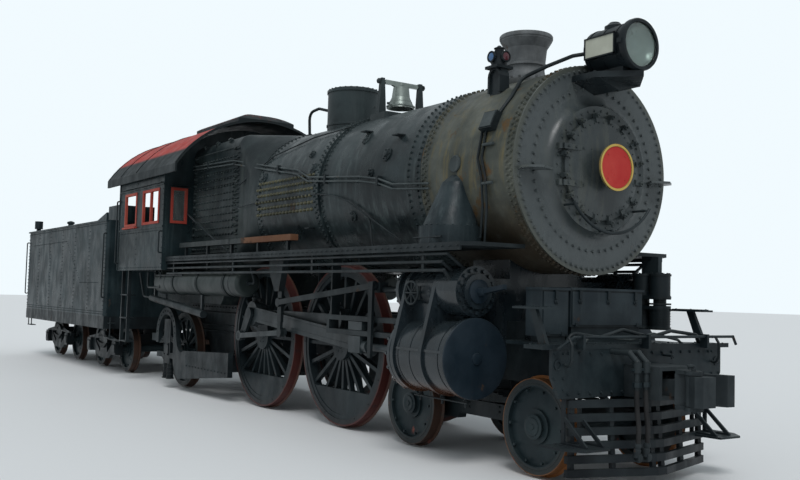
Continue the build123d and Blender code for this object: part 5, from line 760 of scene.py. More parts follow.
for side in (-1, 1):
    low_line = [beside_boiler(x, z, 0.02, side) for x, z in low_line_table] + [(6.45, side * 0.95, 2.32)]
    pipes(boiler_lines, [low_line], 0.009, dark_iron)
    pipes(boiler_lines, [[beside_boiler(5.57, 2.78, 0.02, side), beside_boiler(5.83, 2.61, 0.02, side),
                          (5.93, side * 1.0, 2.24)]], 0.011, dark_iron)
    pipes(boiler_lines, [[beside_boiler(x, z, 0.03, side) for x, z in high_line_table]], 0.010, dark_iron)
    pipes(boiler_lines, [[(0.24, side * 1.1, 2.97), (1.9, side * 1.1, 2.31), (1.99, side * 1.1, 2.25)]],
          0.016, dark_iron)
for clip_x, clip_z in ((0.9, 3.69), (2.2, 3.6), (3.43, 3.40), (4.88, 3.13), (6.13, 3.0)):
    clip = Vector(beside_boiler(clip_x, clip_z, 0.0))
    bar(boiler_lines, (clip_x - 0.02, clip.y - 0.045, clip_z - 0.03),
        (clip_x + 0.02, clip.y + 0.01, clip_z + 0.085))
pipes(boiler_lines, [[(2.80, -0.2, 3.98), (2.76, -0.2, 4.44), (3.06, -0.2, 4.46), (3.43, -0.16, 4.36)]],
      0.022, dark_iron, bend=0.12)
turned(boiler_lines, ((0, 0), (0, 0.05), (0.03, 0.05), (0.03, 0.035), (0.2, 0.035), (0.2, 0.042),
                      (0.3, 0.042), (0.33, 0.02), (0.36, 0)), (3.06, 0.25, 4.08), upward, 20, 1)
wire_route = [(8.62, -0.16, 4.20), (8.50, -0.30, 4.17), (8.24, -0.42, 4.09), (8.02, -0.55, 3.99)]
wire_route += [beside_boiler(8.16, 3.735, 0.016), beside_boiler(8.13, 3.56, 0.016)]
pipes(boiler_lines, [wire_route], 0.02, dark_iron, bend=0.1)
box_outward = Vector((0, -sin(radians(66)), cos(radians(66))))
box_middle = Vector((8.06, 0, boiler_z)) + box_outward * 1.058
box_up = Vector((0, box_outward.z, -box_outward.y))
plate(boiler_lines, [box_middle + Vector((x, 0, 0)) + box_up * z
                     for x, z in ((-0.1, -0.1), (0.1, -0.1), (0.1, 0.1), (-0.1, 0.1))], box_outward * 0.075)
plate(boiler_lines, [box_middle + box_outward * 0.075 + Vector((x, 0, 0)) + box_up * z
                     for x, z in ((-0.085, -0.085), (0.085, -0.085), (0.085, 0.085), (-0.085, 0.085))],
      box_outward * 0.01, 1)
for shift, drop_end in ((-0.03, 2.30), (0.035, 2.24)):
    pipes(boiler_lines, [[beside_boiler(7.99 + shift, 3.40, 0.02), beside_boiler(8.0 + shift, 3.1, 0.02),
                          beside_boiler(8.06 + shift, 2.88, 0.02), (8.06 + shift, -1.05, 2.6),
                          (8.0 + shift, -1.02, drop_end)]], 0.013, dark_iron)
    stub = Vector(beside_boiler(8.03, 3.05 - shift * 6, 0.02))
    pipes(boiler_lines, [[stub, stub + Vector((0.16, 0, 0))]], 0.016, pale_pipe, 1)
for side in (-1, 1):
    medal_out = Vector((0, side * cos(radians(3)), sin(radians(3))))
    turned(boiler_lines, ((0, 0), (0, 0.09), (0.014, 0.09), (0.02, 0.082), (0.014, 0.074), (0.012, 0.01),
                          (0.012, 0)), Vector((7.58, 0, boiler_z)) + medal_out * smokebox_radius, medal_out,
           32, 1)
step_table = ((5.45, 3.72), (4.35, 2.55), (6.35, 3.55))
for side in (-1, 1):
    for step_x, step_z in step_table:
        inner = Vector(beside_boiler(step_x, step_z, -0.02, side))
        plate(boiler_lines, [inner + Vector((x, 0, 0)) for x in (-0.07, 0.07)]
              + [inner + Vector((x, side * 0.11, 0)) for x in (0.06, -0.06)], (0, 0, 0.012))
finished(boiler_lines, "boiler_piping", "engine", [dark_iron, pale_pipe])

# Steam pipe covers and running boards: dark plate covers bolted down on boards with cleats, whose
# edges are riveted angles. A bare plank of brown timber lies on the shelf of each side.
cover_paint = weathered("cover_paint", (0.010, 0.017, 0.021), (0.026, 0.038, 0.043), rust_brown,
                        rust_share=0.02, streak_share=0.6, rough=(0.3, 0.55),
                        streak_colour=(0.07, 0.09, 0.095), dust_and_skylight=0.35, grain=0.7)
board_black = weathered("board_paint", (0.008, 0.012, 0.014), (0.022, 0.029, 0.032), (0.06, 0.035, 0.022),
                        rust_share=0.15, rough=(0.35, 0.6), dust_and_skylight=0.5,
                        zones=(("z", 2.375, 2.39, (0.035, 0.042, 0.042), 0.8),))
plank_paint = weathered("plank_paint", (0.12, 0.05, 0.025), (0.16, 0.08, 0.045), (0.03, 0.03, 0.028),
                        rust_share=0.3, rough=(0.6, 0.8), dust_and_skylight=0.2)
dress(cover_paint, "steam_pipes")
dress(board_black, "running_boards")
board_fittings = bmesh.new()
for side in (-1, 1):
    facing = (0, side, 0)
    studs(board_fittings, line((0.3, side * 1.46, 2.195), (8.15, side * 1.46, 2.195), 0.12, facing), 0.022,
          0.01, board_black)
    studs(board_fittings, line((0.3, side * 1.41, 2.235), (8.1, side * 1.41, 2.235), 0.24, upward), 0.024,
          0.01, board_black)
    cover_bolts = []
    for i in range(22):
        angle = tau * i / 22
        cover_bolts.append(((7.54 + 0.285 * cos(angle), side * 1.08 + 0.275 * sin(angle), 2.428),
                            (cos(angle), sin(angle), 1)))
    studs(board_fittings, cover_bolts, 0.026, 0.014, cover_paint, 1)
    pipes(board_fittings, [[(x, side * 1.37, 2.30) for x in (7.30, 7.78)]], 0.012, dark_iron, 2)
    for cleat_x in [0.45 + 0.215 * cleat for cleat in range(32)]:
        bar(board_fittings, (cleat_x, side * 1.31, 2.233), (cleat_x + 0.02, side * 1.40, 2.240))
    studs(board_fittings, line((0.6, side * 1.245, 2.46), (4.3, side * 1.245, 2.46), 0.3, upward), 0.024,
          0.01, dark_iron, 2)
    bar(board_fittings, (2.41, side * 1.186, 2.38), (2.44, side * 1.304, 2.466), 2)
    bar(board_fittings, (2.86, side * 1.188, 2.383), (4.392, side * 1.302, 2.463), 3)
finished(board_fittings, "running_board_fittings", "engine",
         [board_black, cover_paint, dark_iron, plank_paint])

# Cylinders and valve chests: iron castings lagged with dark sheet, bands round the lagging and a
# ring of nuts on each cover. Rust stands low on the sheet; a handwheel closes the by-pass.
def wire_ring(shape, radius, wire, centre, axis, sides, paint=0, around=6):
    """A ring of round wire."""
    section = [(wire * cos(tau * i / around), radius + wire * sin(tau * i / around)) for i in range(around)]
    turned(shape, section + section[:1], centre, axis, sides, paint)


cylinder_paint = weathered("cylinder_paint", (0.006, 0.010, 0.013), (0.014, 0.021, 0.026), (0.15, 0.06, 0.03),
                           rust_share=0.04, rough=(0.12, 0.36), streak_share=0.45,
                           streak_colour=(0.035, 0.045, 0.05), dust_and_skylight=0.25, shine=0.5,
                           zones=(("z", 0.86, 0.74, (0.14, 0.055, 0.025), 0.5),))
cover_blue = weathered("cover_blue", (0.007, 0.014, 0.021), (0.016, 0.026, 0.036), (0.06, 0.035, 0.02),
                       rust_share=0.02, rough=(0.3, 0.5), streak_share=0.3)
dress(cylinder_paint, "cylinders")
dress(dark_iron, "piping", "crosshead_guides", "valve_gear")
cylinder_fittings = bmesh.new()
cylinder_y, cylinder_z, valve_y, valve_z = 1.127, 1.095, 1.110, 1.758
for side in (-1, 1):
    for band_x in (7.215, 7.42, 7.66, 7.90):
        band(cylinder_fittings, 0.372, 0.38, 0.04, (band_x, side * cylinder_y, cylinder_z), forward, 64)
    bar(cylinder_fittings, (7.2, side * (cylinder_y + 0.355), cylinder_z + 0.05),
        (8.0, side * (cylinder_y + 0.378), cylinder_z + 0.075))
    nuts(cylinder_fittings, hoop(7.08, 0.385, 16, side * cylinder_y, cylinder_z, facing=rearward), 0.05, 0.03,
          cylinder_paint)
    turned(cylinder_fittings, ((0, 0), (0, 0.400), (0.014, 0.404), (0.022, 0.398), (0.028, 0.36),
                               (0.030, 0.06), (0.045, 0.055), (0.05, 0.04), (0.05, 0)),
           (8.050, side * cylinder_y, cylinder_z), forward, 64, 1)
    nuts(cylinder_fittings, hoop(8.03, 0.215, 16, side * valve_y, valve_z, facing=forward)
          + hoop(6.98, 0.235, 12, side * valve_y, valve_z, facing=rearward), 0.042, 0.026, cylinder_paint)
    turned(cylinder_fittings, ((0, 0), (0, 0.12), (0.02, 0.12), (0.03, 0.1), (0.035, 0.05), (0.11, 0.045),
                               (0.115, 0.03), (0.115, 0)), (8.068, side * valve_y, valve_z), forward, 36, 1)
    plate(cylinder_fittings, [(8.16, side * valve_y - 0.035, 1.735), (8.16, side * valve_y + 0.035, 1.735),
                              (8.46, side * valve_y + 0.028, 1.785), (8.46, side * valve_y - 0.028, 1.785)],
          (0, 0, 0.045), 1)
    nuts(cylinder_fittings, hoop(7.14, 0.325, 10, side * cylinder_y, 1.36, facing=rearward, start=-0.9,
                                 end=0.9) + hoop(7.695, 0.3, 10, side * cylinder_y, 1.40, facing=forward,
                                                 start=-0.9, end=0.9), 0.036, 0.02, cylinder_paint)
    wheel_centre = Vector((7.33, side * 1.405, 1.73))
    disc(cylinder_fittings, 0.02, 0.09, wheel_centre + Vector((0, -side * 0.085, 0)),
           (0, side, 0), 12, 2)
    wire_ring(cylinder_fittings, 0.118, 0.011, wheel_centre, (0, side, 0), 32, 2, around=8)
    pipes(cylinder_fittings,
          [[wheel_centre, wheel_centre + Vector((cos(tau * i / 8), 0, sin(tau * i / 8))) * 0.118]
           for i in range(8)], 0.008, dark_iron, 2, sides=6)
    bar(cylinder_fittings, (7.28, side * 1.2, 1.66), (7.38, side * 1.33, 1.80), 2)
    for cock_x in (7.16, 7.54, 7.93):
        turned(cylinder_fittings, ((0, 0), (0, 0.02), (0.05, 0.02), (0.055, 0.028), (0.085, 0.028),
                                   (0.09, 0.014), (0.13, 0.014), (0.13, 0)),
               (cock_x, side * cylinder_y, 0.73), (0, 0, -1), 16, 2)
    pipes(cylinder_fittings, [[(7.1, side * (cylinder_y + 0.04), 0.655),
                               (8.0, side * (cylinder_y + 0.04), 0.655)]], 0.009, dark_iron, 2)
finished(cylinder_fittings, "cylinder_fittings", "engine", [cylinder_paint, cover_blue, dark_iron])

# Wheels: cast spoked centres in dark paint with steel tyres, whose treads have rusted since the
# engine last ran. Caps and nuts sit on the hubs, and bolts round the rims.
def ring_beside(centre, radius, count):
    """Places round a circle in a plane along the engine, facing away from its middle."""
    outward = (0, 1 if centre[1] > 0 else -1, 0)
    angles = [tau * i / count for i in range(count)]
    return [((centre[0] + radius * cos(angle), centre[1], centre[2] + radius * sin(angle)), outward)
            for angle in angles]


driver_front_x, driver_rear_x, driver_z = 4.95, 2.689, 1.044
driver_table = (("driver_wheelset_1", "driver_front", driver_front_x),
                ("driver_wheelset_2", "driver_rear", driver_rear_x))
for wheel_name, wheel_body, axle_x in driver_table:
    hub = (axle_x, 0, driver_z)
    driver_paint = weathered("driver_paint_" + wheel_body, (0.008, 0.013, 0.016), (0.02, 0.029, 0.033),
                             (0.05, 0.028, 0.02), rust_share=0.1, rough=(0.3, 0.55), hub=hub, dust_and_skylight=0.25,
                             zones=(("radius", 0.928, 0.938, (0.022, 0.024, 0.026), 0.8),
                                    ("radius", 0.985, 1.012, (0.085, 0.022, 0.018), 0.9),
                                    ("radius", 1.016, 1.03, (0.07, 0.035, 0.025), 0.9)))
    dress(driver_paint, wheel_name)
    hub_fittings = bmesh.new()
    for side in (-1, 1):
        turned(hub_fittings, ((-0.01, 0), (-0.01, 0.125), (0.003, 0.125), (0.006, 0.115), (0.006, 0.05),
                              (0.010, 0.045), (0.010, 0)), (axle_x, side * 0.824, driver_z), (0, side, 0), 32)
        nuts(hub_fittings, ring_beside((axle_x, side * 0.829, driver_z), 0.09, 6), 0.02, 0.006, driver_paint)
        studs(hub_fittings, ring_beside((axle_x, side * 0.816, driver_z), 0.958, 16), 0.03, 0.006,
              driver_paint)
    finished(hub_fittings, wheel_name + "_fittings", wheel_body, [driver_paint])
trailing_x = -0.43
tender_truck_xs = (-4.35, -7.90)
tender_axle_reach = 0.85
small_tread, trailing_tread, rail_rise = 0.457, 0.635, 0.028
small_wheel_table = [("lead_wheelset_1", "lead_axle_front", 8.59, small_tread, 0.2),
                     ("lead_wheelset_2", "lead_axle_rear", 6.52, small_tread, 0.2),
                     ("trailing_wheelset", "trailing_axle", trailing_x, trailing_tread, 0.2)]
tender_axle_xs = [truck_x + reach for truck_x in tender_truck_xs
                  for reach in (tender_axle_reach, -tender_axle_reach)]
small_wheel_table += [("tender_wheelset_%d" % number, "tender_axle_%d" % number, axle_x, small_tread, 0.0)
                      for number, axle_x in enumerate(tender_axle_xs, 1)]
for wheel_name, wheel_body, axle_x, tread, rust_share in small_wheel_table:
    hub = (axle_x, 0, tread + rail_rise)
    tread_rust = (0.26, 0.10, 0.03) if wheel_name == "lead_wheelset_1" else (0.06, 0.03, 0.02)
    wheel_paint = weathered("wheel_paint_" + wheel_body, (0.012, 0.021, 0.025), (0.028, 0.042, 0.046),
                            (0.22, 0.075, 0.06), rust_share=rust_share, rough=(0.35, 0.6), hub=hub,
                            zones=(("radius", tread - 0.075, tread - 0.062, (0.03, 0.033, 0.033), 0.8),
                                   ("radius", tread - 0.012, tread + 0.002, tread_rust, 0.95)))
    dress(wheel_paint, wheel_name)
    caps = bmesh.new()
    for side in (-1, 1):
        if wheel_name.startswith("lead"):
            turned(caps, ((0, 0), (0, 0.12), (0.008, 0.12), (0.012, 0.105), (0.012, 0.09), (0.022, 0.085),
                          (0.024, 0.07), (0.018, 0.055), (0.018, 0.03), (0.026, 0.025), (0.026, 0)),
                   (axle_x, side * 0.828, hub[2]), (0, side, 0), 32)
        nuts(caps, ring_beside((axle_x, side * 0.800, hub[2]), tread - 0.11, 10), 0.03, 0.022, wheel_paint)
        turned(caps, ((0, tread - 0.052), (0, tread - 0.044), (0.003, tread - 0.046), (0.003, tread - 0.050),
                      (0, tread - 0.052)), (axle_x, side * 0.8165, hub[2]), (0, side, 0), 48)
    finished(caps, wheel_name + "_fittings", wheel_body, [wheel_paint])

# Rods and crossheads: forged steel, once bright and now brown, with raised edges along their faces,
# oil cups over the eyes, and nuts round the front crank pins and the crosshead pins.
rod_steel = weathered("rod_steel", (0.013, 0.019, 0.022), (0.034, 0.044, 0.048), (0.05, 0.032, 0.022),
                      rust_share=0.15, rough=(0.3, 0.55), dust_and_skylight=0.35, shine=0.4)
crank = 0.33
rod_table = ((-1, "right", driver_rear_x, driver_z + crank, driver_front_x, 5.888),
             (1, "left", driver_rear_x - crank, driver_z, driver_front_x - crank, 5.57))
for side, ending, rear_x, pin_z, front_x, wrist_x in rod_table:
    for kind in ("side_rod_", "main_rod_", "eccentric_rod_", "crosshead_"):
        dress(rod_steel, kind + ending)
    side_face, main_face = 0.923, 1.015
    side_trim = bmesh.new()
    for shift in (-0.05, 0.05):
        bar(side_trim, (rear_x + 0.19, side * (side_face - 0.002), pin_z + shift - 0.011),
            (front_x - 0.19, side * (side_face + 0.004), pin_z + shift + 0.011))
    for eye_x in (rear_x, front_x):
        turned(side_trim, ((0, 0), (0, 0.028), (0.03, 0.028), (0.034, 0.036), (0.06, 0.036), (0.068, 0.02),
                           (0.08, 0.016), (0.08, 0)), (eye_x, side * (side_face - 0.04), pin_z + 0.155),
               upward, 16)
    nuts(side_trim, ring_beside((front_x, side * side_face, pin_z), 0.115, 8), 0.02, 0.005, rod_steel)
    finished(side_trim, "side_rod_fittings_" + ending, "side_rod_" + ending, [rod_steel])
    main_trim = bmesh.new()
    wrist_z = cylinder_z
    rod_way = Vector((wrist_x - rear_x, 0, wrist_z - pin_z)).normalized()
    rod_up = Vector((-rod_way.z, 0, rod_way.x))
    start = Vector((rear_x, side * main_face, pin_z)) + rod_way * 0.3
    end = Vector((wrist_x, side * main_face, wrist_z)) - rod_way * 0.25
    for rise_start, rise_end in ((0.066, 0.05), (-0.066, -0.05)):
        first, last = start + rod_up * rise_start, end + rod_up * rise_end
        plate(main_trim, [first - rod_up * 0.011, last - rod_up * 0.011, last + rod_up * 0.011,
                          first + rod_up * 0.011], (0, side * 0.005, 0))
    turned(main_trim, ((0, 0), (0, 0.03), (0.035, 0.03), (0.04, 0.038), (0.065, 0.038), (0.075, 0.02),
                       (0.085, 0.016), (0.085, 0)), (rear_x, side * (main_face - 0.04), pin_z + 0.17), upward,
           16)
    finished(main_trim, "main_rod_fittings_" + ending, "main_rod_" + ending, [rod_steel])
    pins = bmesh.new()
    turned(pins, ((0, 0), (0, 0.075), (0.012, 0.075), (0.018, 0.06), (0.018, 0.035), (0.03, 0.032),
                  (0.032, 0)), (wrist_x, side * 1.148, wrist_z), (0, side, 0), 24)
    nuts(pins, [((wrist_x + x, side * 1.158, wrist_z + z), (0, side, 0)) for x in (-0.11, 0.11)
                for z in (-0.08, 0.08)], 0.03, 0.014, rod_steel)
    finished(pins, "crosshead_fittings_" + ending, "crosshead_" + ending, [rod_steel])

# Front deck, beam and pilot: dark plates and angles, grey-blue tool cabinets with latches, a chain
# at the coupler, and a slatted pilot in the same dark paint. Bolts stand on its footboards.
deck_paint = weathered("deck_paint", (0.008, 0.013, 0.016), (0.019, 0.028, 0.032), (0.05, 0.03, 0.02),
                       rust_share=0.08, rough=(0.3, 0.52), dust_and_skylight=0.3, streak_share=0.4)
cabinet_paint = weathered("cabinet_paint", (0.011, 0.018, 0.023), (0.024, 0.035, 0.041), (0.05, 0.03, 0.02),
                          rust_share=0.04, rough=(0.3, 0.52), streak_share=0.4,
                          streak_colour=(0.045, 0.058, 0.062), dust_and_skylight=0.3)
pilot_paint = weathered("pilot_paint", (0.007, 0.010, 0.013), (0.018, 0.025, 0.028), (0.05, 0.03, 0.02),
                        rust_share=0.08, rough=(0.35, 0.6), dust_and_skylight=0.45)
dress(deck_paint, "front_deck", "air_pump")
dress(pilot_paint, "pilot")
dress(cast_iron, "coupler_front", "coupler_rear", "knuckle_front", "knuckle_rear", "drawbar")
deck_fittings = bmesh.new()
beam_x, deck_top_z = 9.19, 1.293
cabinet_boxes = (((8.436, -0.509, 1.440), (8.739, 0.509, 1.812)),
                 ((8.516, -0.884, 1.350), (8.739, -0.531, 1.804)))
for (x0, y0, z0), (x1, y1, z1) in cabinet_boxes:
    bar(deck_fittings, (x1 - 0.012, y0 + 0.02, z0 + 0.02), (x1 + 0.006, y1 - 0.02, z1 - 0.03), 1)
    bar(deck_fittings, (x0 - 0.004, y0 - 0.008, z1 - 0.014), (x1 + 0.014, y1 + 0.008, z1 + 0.008), 1)
    plate(deck_fittings, [(x0, y0, z0), (x1, y0, z0), (x1, y0, z1), (x0, y0, z1)], (0, 0.006, 0), 1)
    for latch_y in ((y0 + 0.12, 0.0, y1 - 0.12) if y1 > 0 else ((y0 + y1) / 2,)):
        bar(deck_fittings, (x1 + 0.004, latch_y - 0.018, z1 - 0.1), (x1 + 0.024, latch_y + 0.018, z1 - 0.018))
        turned(deck_fittings, ((0, 0), (0, 0.024), (0.012, 0.024), (0.016, 0.014), (0.026, 0.012),
                               (0.026, 0)), (x1 + 0.004, latch_y, z1 - 0.125), forward, 16)
    for hinge_y in (y0 + 0.08, y1 - 0.08):
        bar(deck_fittings, (x1, hinge_y - 0.02, z0 + 0.005), (x1 + 0.012, hinge_y + 0.02, z0 + 0.04))
studs(deck_fittings, line((beam_x, -0.97, 1.22), (beam_x, 0.97, 1.22), 0.14, forward)
      + line((beam_x, -0.97, 0.86), (beam_x, 0.97, 0.86), 0.14, forward), 0.034, 0.018, deck_paint)
studs(deck_fittings, line((9.16, -1.24, deck_top_z), (9.16, 1.24, deck_top_z), 0.16, upward)
      + line((8.98, -1.24, deck_top_z), (8.98, 1.24, deck_top_z), 0.2, upward), 0.028, 0.01, deck_paint)
bar(deck_fittings, (9.182, -1.292, 1.256), (9.196, 1.292, 1.300))
for side in (-1, 1):
    band(deck_fittings, 0.03, 0.046, 0.01, (beam_x, side * 1.10, 1.12),
           forward, 24)
    studs(deck_fittings, [((beam_x, side * y, z), forward) for y in (1.03, 1.14) for z in (0.9, 1.0, 1.22)],
          0.03, 0.014, deck_paint)
    studs(deck_fittings, line((8.68, side * 1.10, 1.63), (9.06, side * 1.10, 1.63), 0.19, upward), 0.026,
          0.01, deck_paint)
    for grate in range(9):
        bar(deck_fittings, (8.68 + 0.044 * grate, side * 1.10 - 0.07, 1.628),
            (8.69 + 0.044 * grate, side * 1.10 + 0.07, 1.636))
for link in range(11):
    share = link / 10
    link_centre = Vector((9.30 + 0.05 * sin(pi * share), 0.30 - 0.22 * share,
                          1.18 - 0.24 * sin(pi * share * 0.9) - 0.05 * share))
    wire_ring(deck_fittings, 0.021, 0.0065, link_centre, (0, 0.35, 1) if link % 2 else (1, 0.2, 0), 12)
pipes(deck_fittings, [[(beam_x, 0.30, 1.19), (9.31, 0.30, 1.19)]], 0.012, deck_paint, bend=0.0)
for hose_y in hose_ys:
    band(deck_fittings, 0.03, 0.042, 0.045, (hose_x, hose_y, 0.93), upward, 6)
    band(deck_fittings, 0.024, 0.036, 0.05, (hose_x, hose_y, 1.06), upward, 20)
    bar(deck_fittings, (hose_x - 0.012, hose_y - 0.075, 1.08), (hose_x + 0.012, hose_y - 0.02, 1.10))
pipes(deck_fittings, [[(9.10, -0.92, 1.30), (9.12, -0.86, 1.40), (9.16, -0.55, 1.36), (9.12, -0.2, 1.43),
                       (9.15, 0.15, 1.36), (9.11, 0.5, 1.42), (9.14, 0.86, 1.38), (9.12, 0.92, 1.30)]], 0.018,
      dark_iron, 2, bend=0.08)
pipes(deck_fittings, [[(9.02, -0.60, 1.30), (9.04, -0.55, 1.37), (9.13, -0.1, 1.335), (9.06, 0.3, 1.39),
                       (9.10, 0.62, 1.33), (9.08, 0.70, 1.29)]], 0.014, pale_pipe, 3, bend=0.08)
for side in (-1, 1):
    pipes(deck_fittings, [[(9.245, side * 1.02, 1.36), (9.285, side * 1.02, 1.30), (9.285, side * 1.02, 1.16),
                           (9.25, side * 1.02, 1.10), (9.20, side * 1.02, 1.12)]], 0.014, dark_iron, 2,
          bend=0.04)
finished(deck_fittings, "front_deck_fittings", "engine", [deck_paint, cabinet_paint, dark_iron, pale_pipe])
pilot_bolts = bmesh.new()
for side in (-1, 1):
    nuts(pilot_bolts, line((9.12, side * 1.05, 0.41), (9.36, side * 1.05, 0.41), 0.08, upward), 0.024, 0.012,
         cast_iron)
finished(pilot_bolts, "footboard_bolts", "engine", [cast_iron])

# Couplers: cast automatic couplers. The lift pin stands on the head, with two bolts behind it.
for direction, coupler_body in ((1, "engine"), (-1, "tender")):
    pin = bmesh.new()
    turned(pin, ((0, 0), (0, 0.026), (0.02, 0.026), (0.026, 0.036), (0.04, 0.036), (0.046, 0.02), (0.05, 0)),
           (direction * 9.86, direction * -0.13, 1.112), upward, 20)
    nuts(pin, [((direction * 9.43, y, 1.0), upward) for y in (-0.06, 0.06)], 0.04, 0.02, cast_iron)
    finished(pin, "coupler_pin_" + coupler_body, coupler_body, [cast_iron])

# Frames, air reservoirs and underside: bar frames and pressed tanks in worn black. Bands hold the
# reservoirs; drain plugs and cocks close their ends.
frame_paint = weathered("frame_paint", (0.007, 0.010, 0.012), (0.017, 0.024, 0.027), (0.04, 0.025, 0.018),
                        rust_share=0.12, rough=(0.32, 0.6), dust_and_skylight=0.3)
# The reservoirs are painted paler on their up-facing tops: partly dust, partly painted sky light.
tank_paint = weathered("reservoir_paint", (0.012, 0.018, 0.019), (0.028, 0.037, 0.036), (0.05, 0.03, 0.02),
                       rust_share=0.05, rough=(0.3, 0.5), streak_share=0.5,
                       zones=(("up", 0.25, 0.8, (0.06, 0.07, 0.06), 0.7),))
dress(frame_paint, "main_frame", "ashpan", "lead_truck_frame", "trailing_truck_frame", "cab_floor")
dress(tank_paint, "air_reservoirs")
side_fittings = bmesh.new()
for side in (-1, 1):
    reservoir = Vector((0, side * 1.225, 1.812))
    for share in (0.25, 0.55, 0.85):
        band_x = -0.4 + share * 3.4
        turned(side_fittings, ((0, 0.200), (0, 0.207), (0.012, 0.207), (0.012, 0.203), (0.05, 0.203),
                               (0.05, 0.207), (0.06, 0.207), (0.06, 0.200), (0, 0.200)), reservoir
               + Vector((band_x, 0, 0)), forward, 40)
        bar(side_fittings, (band_x + 0.008, reservoir.y + side * 0.19 - 0.012, 1.79),
            (band_x + 0.052, reservoir.y + side * 0.19 + 0.022, 1.834))
    for end_x, way in ((-0.4, -1), (3.0, 1)):
        turned(side_fittings, ((-0.004, 0), (-0.004, 0.04), (0.018, 0.036), (0.02, 0.022), (0.045, 0.022),
                               (0.045, 0)), reservoir + Vector((end_x, 0, 0)), (way, 0, 0), 6)
    for seam_x in (0.1, 2.7):
        turned(side_fittings, ((0, 0.193), (0.004, 0.199), (0.014, 0.199), (0.018, 0.193), (0, 0.193)),
               reservoir + Vector((seam_x, 0, 0)), forward, 40)
    turned(side_fittings, ((0, 0), (0, 0.016), (0.05, 0.016), (0.055, 0.024), (0.075, 0.024), (0.08, 0.01),
                           (0.1, 0)), reservoir + Vector((1.3, 0, -0.19)), (0, 0, -1), 12)
    pipes(side_fittings, [[(3.02, side * 1.225, 1.812), (3.22, side * 1.225, 1.812),
                           (3.22, side * 1.30, 2.03)], [(-0.42, side * 1.225, 1.812),
                                                        (-0.62, side * 1.225, 1.812),
                                                        (-0.62, side * 1.225, 2.02)]], 0.018, dark_iron,
          bend=0.08)
    for rod_z in (1.02, 1.12):
        pipes(side_fittings, [[(-0.6, side * 0.56, rod_z), (1.1, side * 0.56, rod_z)]], 0.012, dark_iron)
    for hanger_x in (3.55, 5.6, 6.9):
        bar(side_fittings, (hanger_x, side * 0.98, 2.06), (hanger_x + 0.05, side * 1.0, 2.2))
    studs(side_fittings, line((-0.7, side * 0.552, 1.42), (1.1, side * 0.552, 1.42), 0.12, (0, side, 0)),
          0.03, 0.014, frame_paint)
    pipes(side_fittings, [[(-0.35, side * 1.42, 1.98), (-0.3, side * 1.40, 1.93), (0.9, side * 1.40, 1.93)]],
          0.012, dark_iron)
finished(side_fittings, "reservoir_fittings", "engine", [dark_iron])

# Air pump: two lagged steam cylinders over two finned air cylinders, bolted flange to flange, on the
# engine's left side.
pump_fittings = bmesh.new()
pump_y = 1.13
pump_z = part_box("air_pump")[0][2]
for pump_x in (8.198, 8.432):
    for fin in range(7):
        band(pump_fittings, 0.108, 0.118, 0.008, (pump_x, pump_y, pump_z + 0.06 + 0.028 * fin), upward, 32)
    for flange_z in (pump_z + 0.01, pump_z + 0.27, pump_z + 0.34, pump_z + 0.585):
        band(pump_fittings, 0.1, 0.122, 0.02, (pump_x, pump_y, flange_z), upward, 32)
    nuts(pump_fittings, [((pump_x + 0.1 * cos(tau * i / 10), pump_y + 0.1 * sin(tau * i / 10),
                           pump_z + 0.605), upward) for i in range(10)], 0.022, 0.014, dark_iron)
finished(pump_fittings, "air_pump_fittings", "engine", [dark_iron])

# Leading and trailing trucks: plate and cast frames on springs. Leaf springs lie between the leading
# wheels and over the trailing journal boxes, and coils stand below these.
def leaf(shape, centre, half, end_rise, thickness, across):
    """One leaf of a spring: from its middle, both ends rise or fall to the same height."""
    x, y, z = centre
    lower = [(x - half, y, z + end_rise), (x, y, z), (x + half, y, z + end_rise)]
    upper = [(x, y, z + thickness) for x, y, z in reversed(lower)]
    plate(shape, lower + upper, (0, across, 0))


lead_truck_x = 7.555
lead_fittings = bmesh.new()
for side in (-1, 1):
    studs(lead_fittings, [((x, side * 0.58, z), (0, side, 0)) for x in (6.45, 6.7, 7.3, 7.55, 7.8, 8.4, 8.7)
                          for z in (0.52, 0.57) if abs(x - lead_truck_x) > 0.2], 0.03, 0.016, frame_paint)
    for number in range(7):
        half = 0.62 - 0.07 * number
        leaf(lead_fittings, (lead_truck_x, side * 0.52 - 0.04, 0.605 + 0.014 * number), half,
             0.03 * (half / 0.62) ** 2, 0.012, 0.08)
finished(lead_fittings, "lead_truck_springs", "lead_truck", [frame_paint])

trailing_fittings = bmesh.new()
for side in (-1, 1):
    face_y = side * 1.12
    for coil_x in (trailing_x - 0.095, trailing_x + 0.095):
        coil = [(coil_x + 0.052 * cos(tau * i / 12), side * 1.08 + 0.052 * sin(tau * i / 12),
                 0.17 + 0.245 * i / 48) for i in range(49)]
        pipes(trailing_fittings, [coil], 0.012, dark_iron, bend=0.0, sides=8)
        disc(trailing_fittings, 0.07, 0.02, (coil_x, side * 1.08, 0.162), upward, 24)
    bar(trailing_fittings, (-0.52, face_y, 0.56), (-0.34, face_y + side * 0.014, 0.77))
    nuts(trailing_fittings, [((x, face_y + side * 0.014, z), (0, side, 0)) for x in (-0.505, -0.355)
                             for z in (0.58, 0.75)], 0.026, 0.012, frame_paint)
    arch_angles = [pi * (i + 0.5) / 12 for i in range(12)]
    arch_studs = [((-0.5 + 0.42 * cos(angle), face_y, 0.9 + 0.42 * sin(angle)), (0, side, 0))
                  for angle in arch_angles]
    studs(trailing_fittings, arch_studs + line((0.5, face_y, 0.45), (2.05, face_y, 0.45), 0.13, (0, side, 0)),
          0.03, 0.013, frame_paint)
    for number in range(6):
        half = 0.40 - 0.05 * number
        leaf(trailing_fittings, (trailing_x, face_y - side * 0.07, 0.84 + 0.016 * number), half,
             -0.09 * (half / 0.4) ** 2, 0.013, side * 0.06)
finished(trailing_fittings, "trailing_truck_springs", "trailing_truck", [frame_paint])

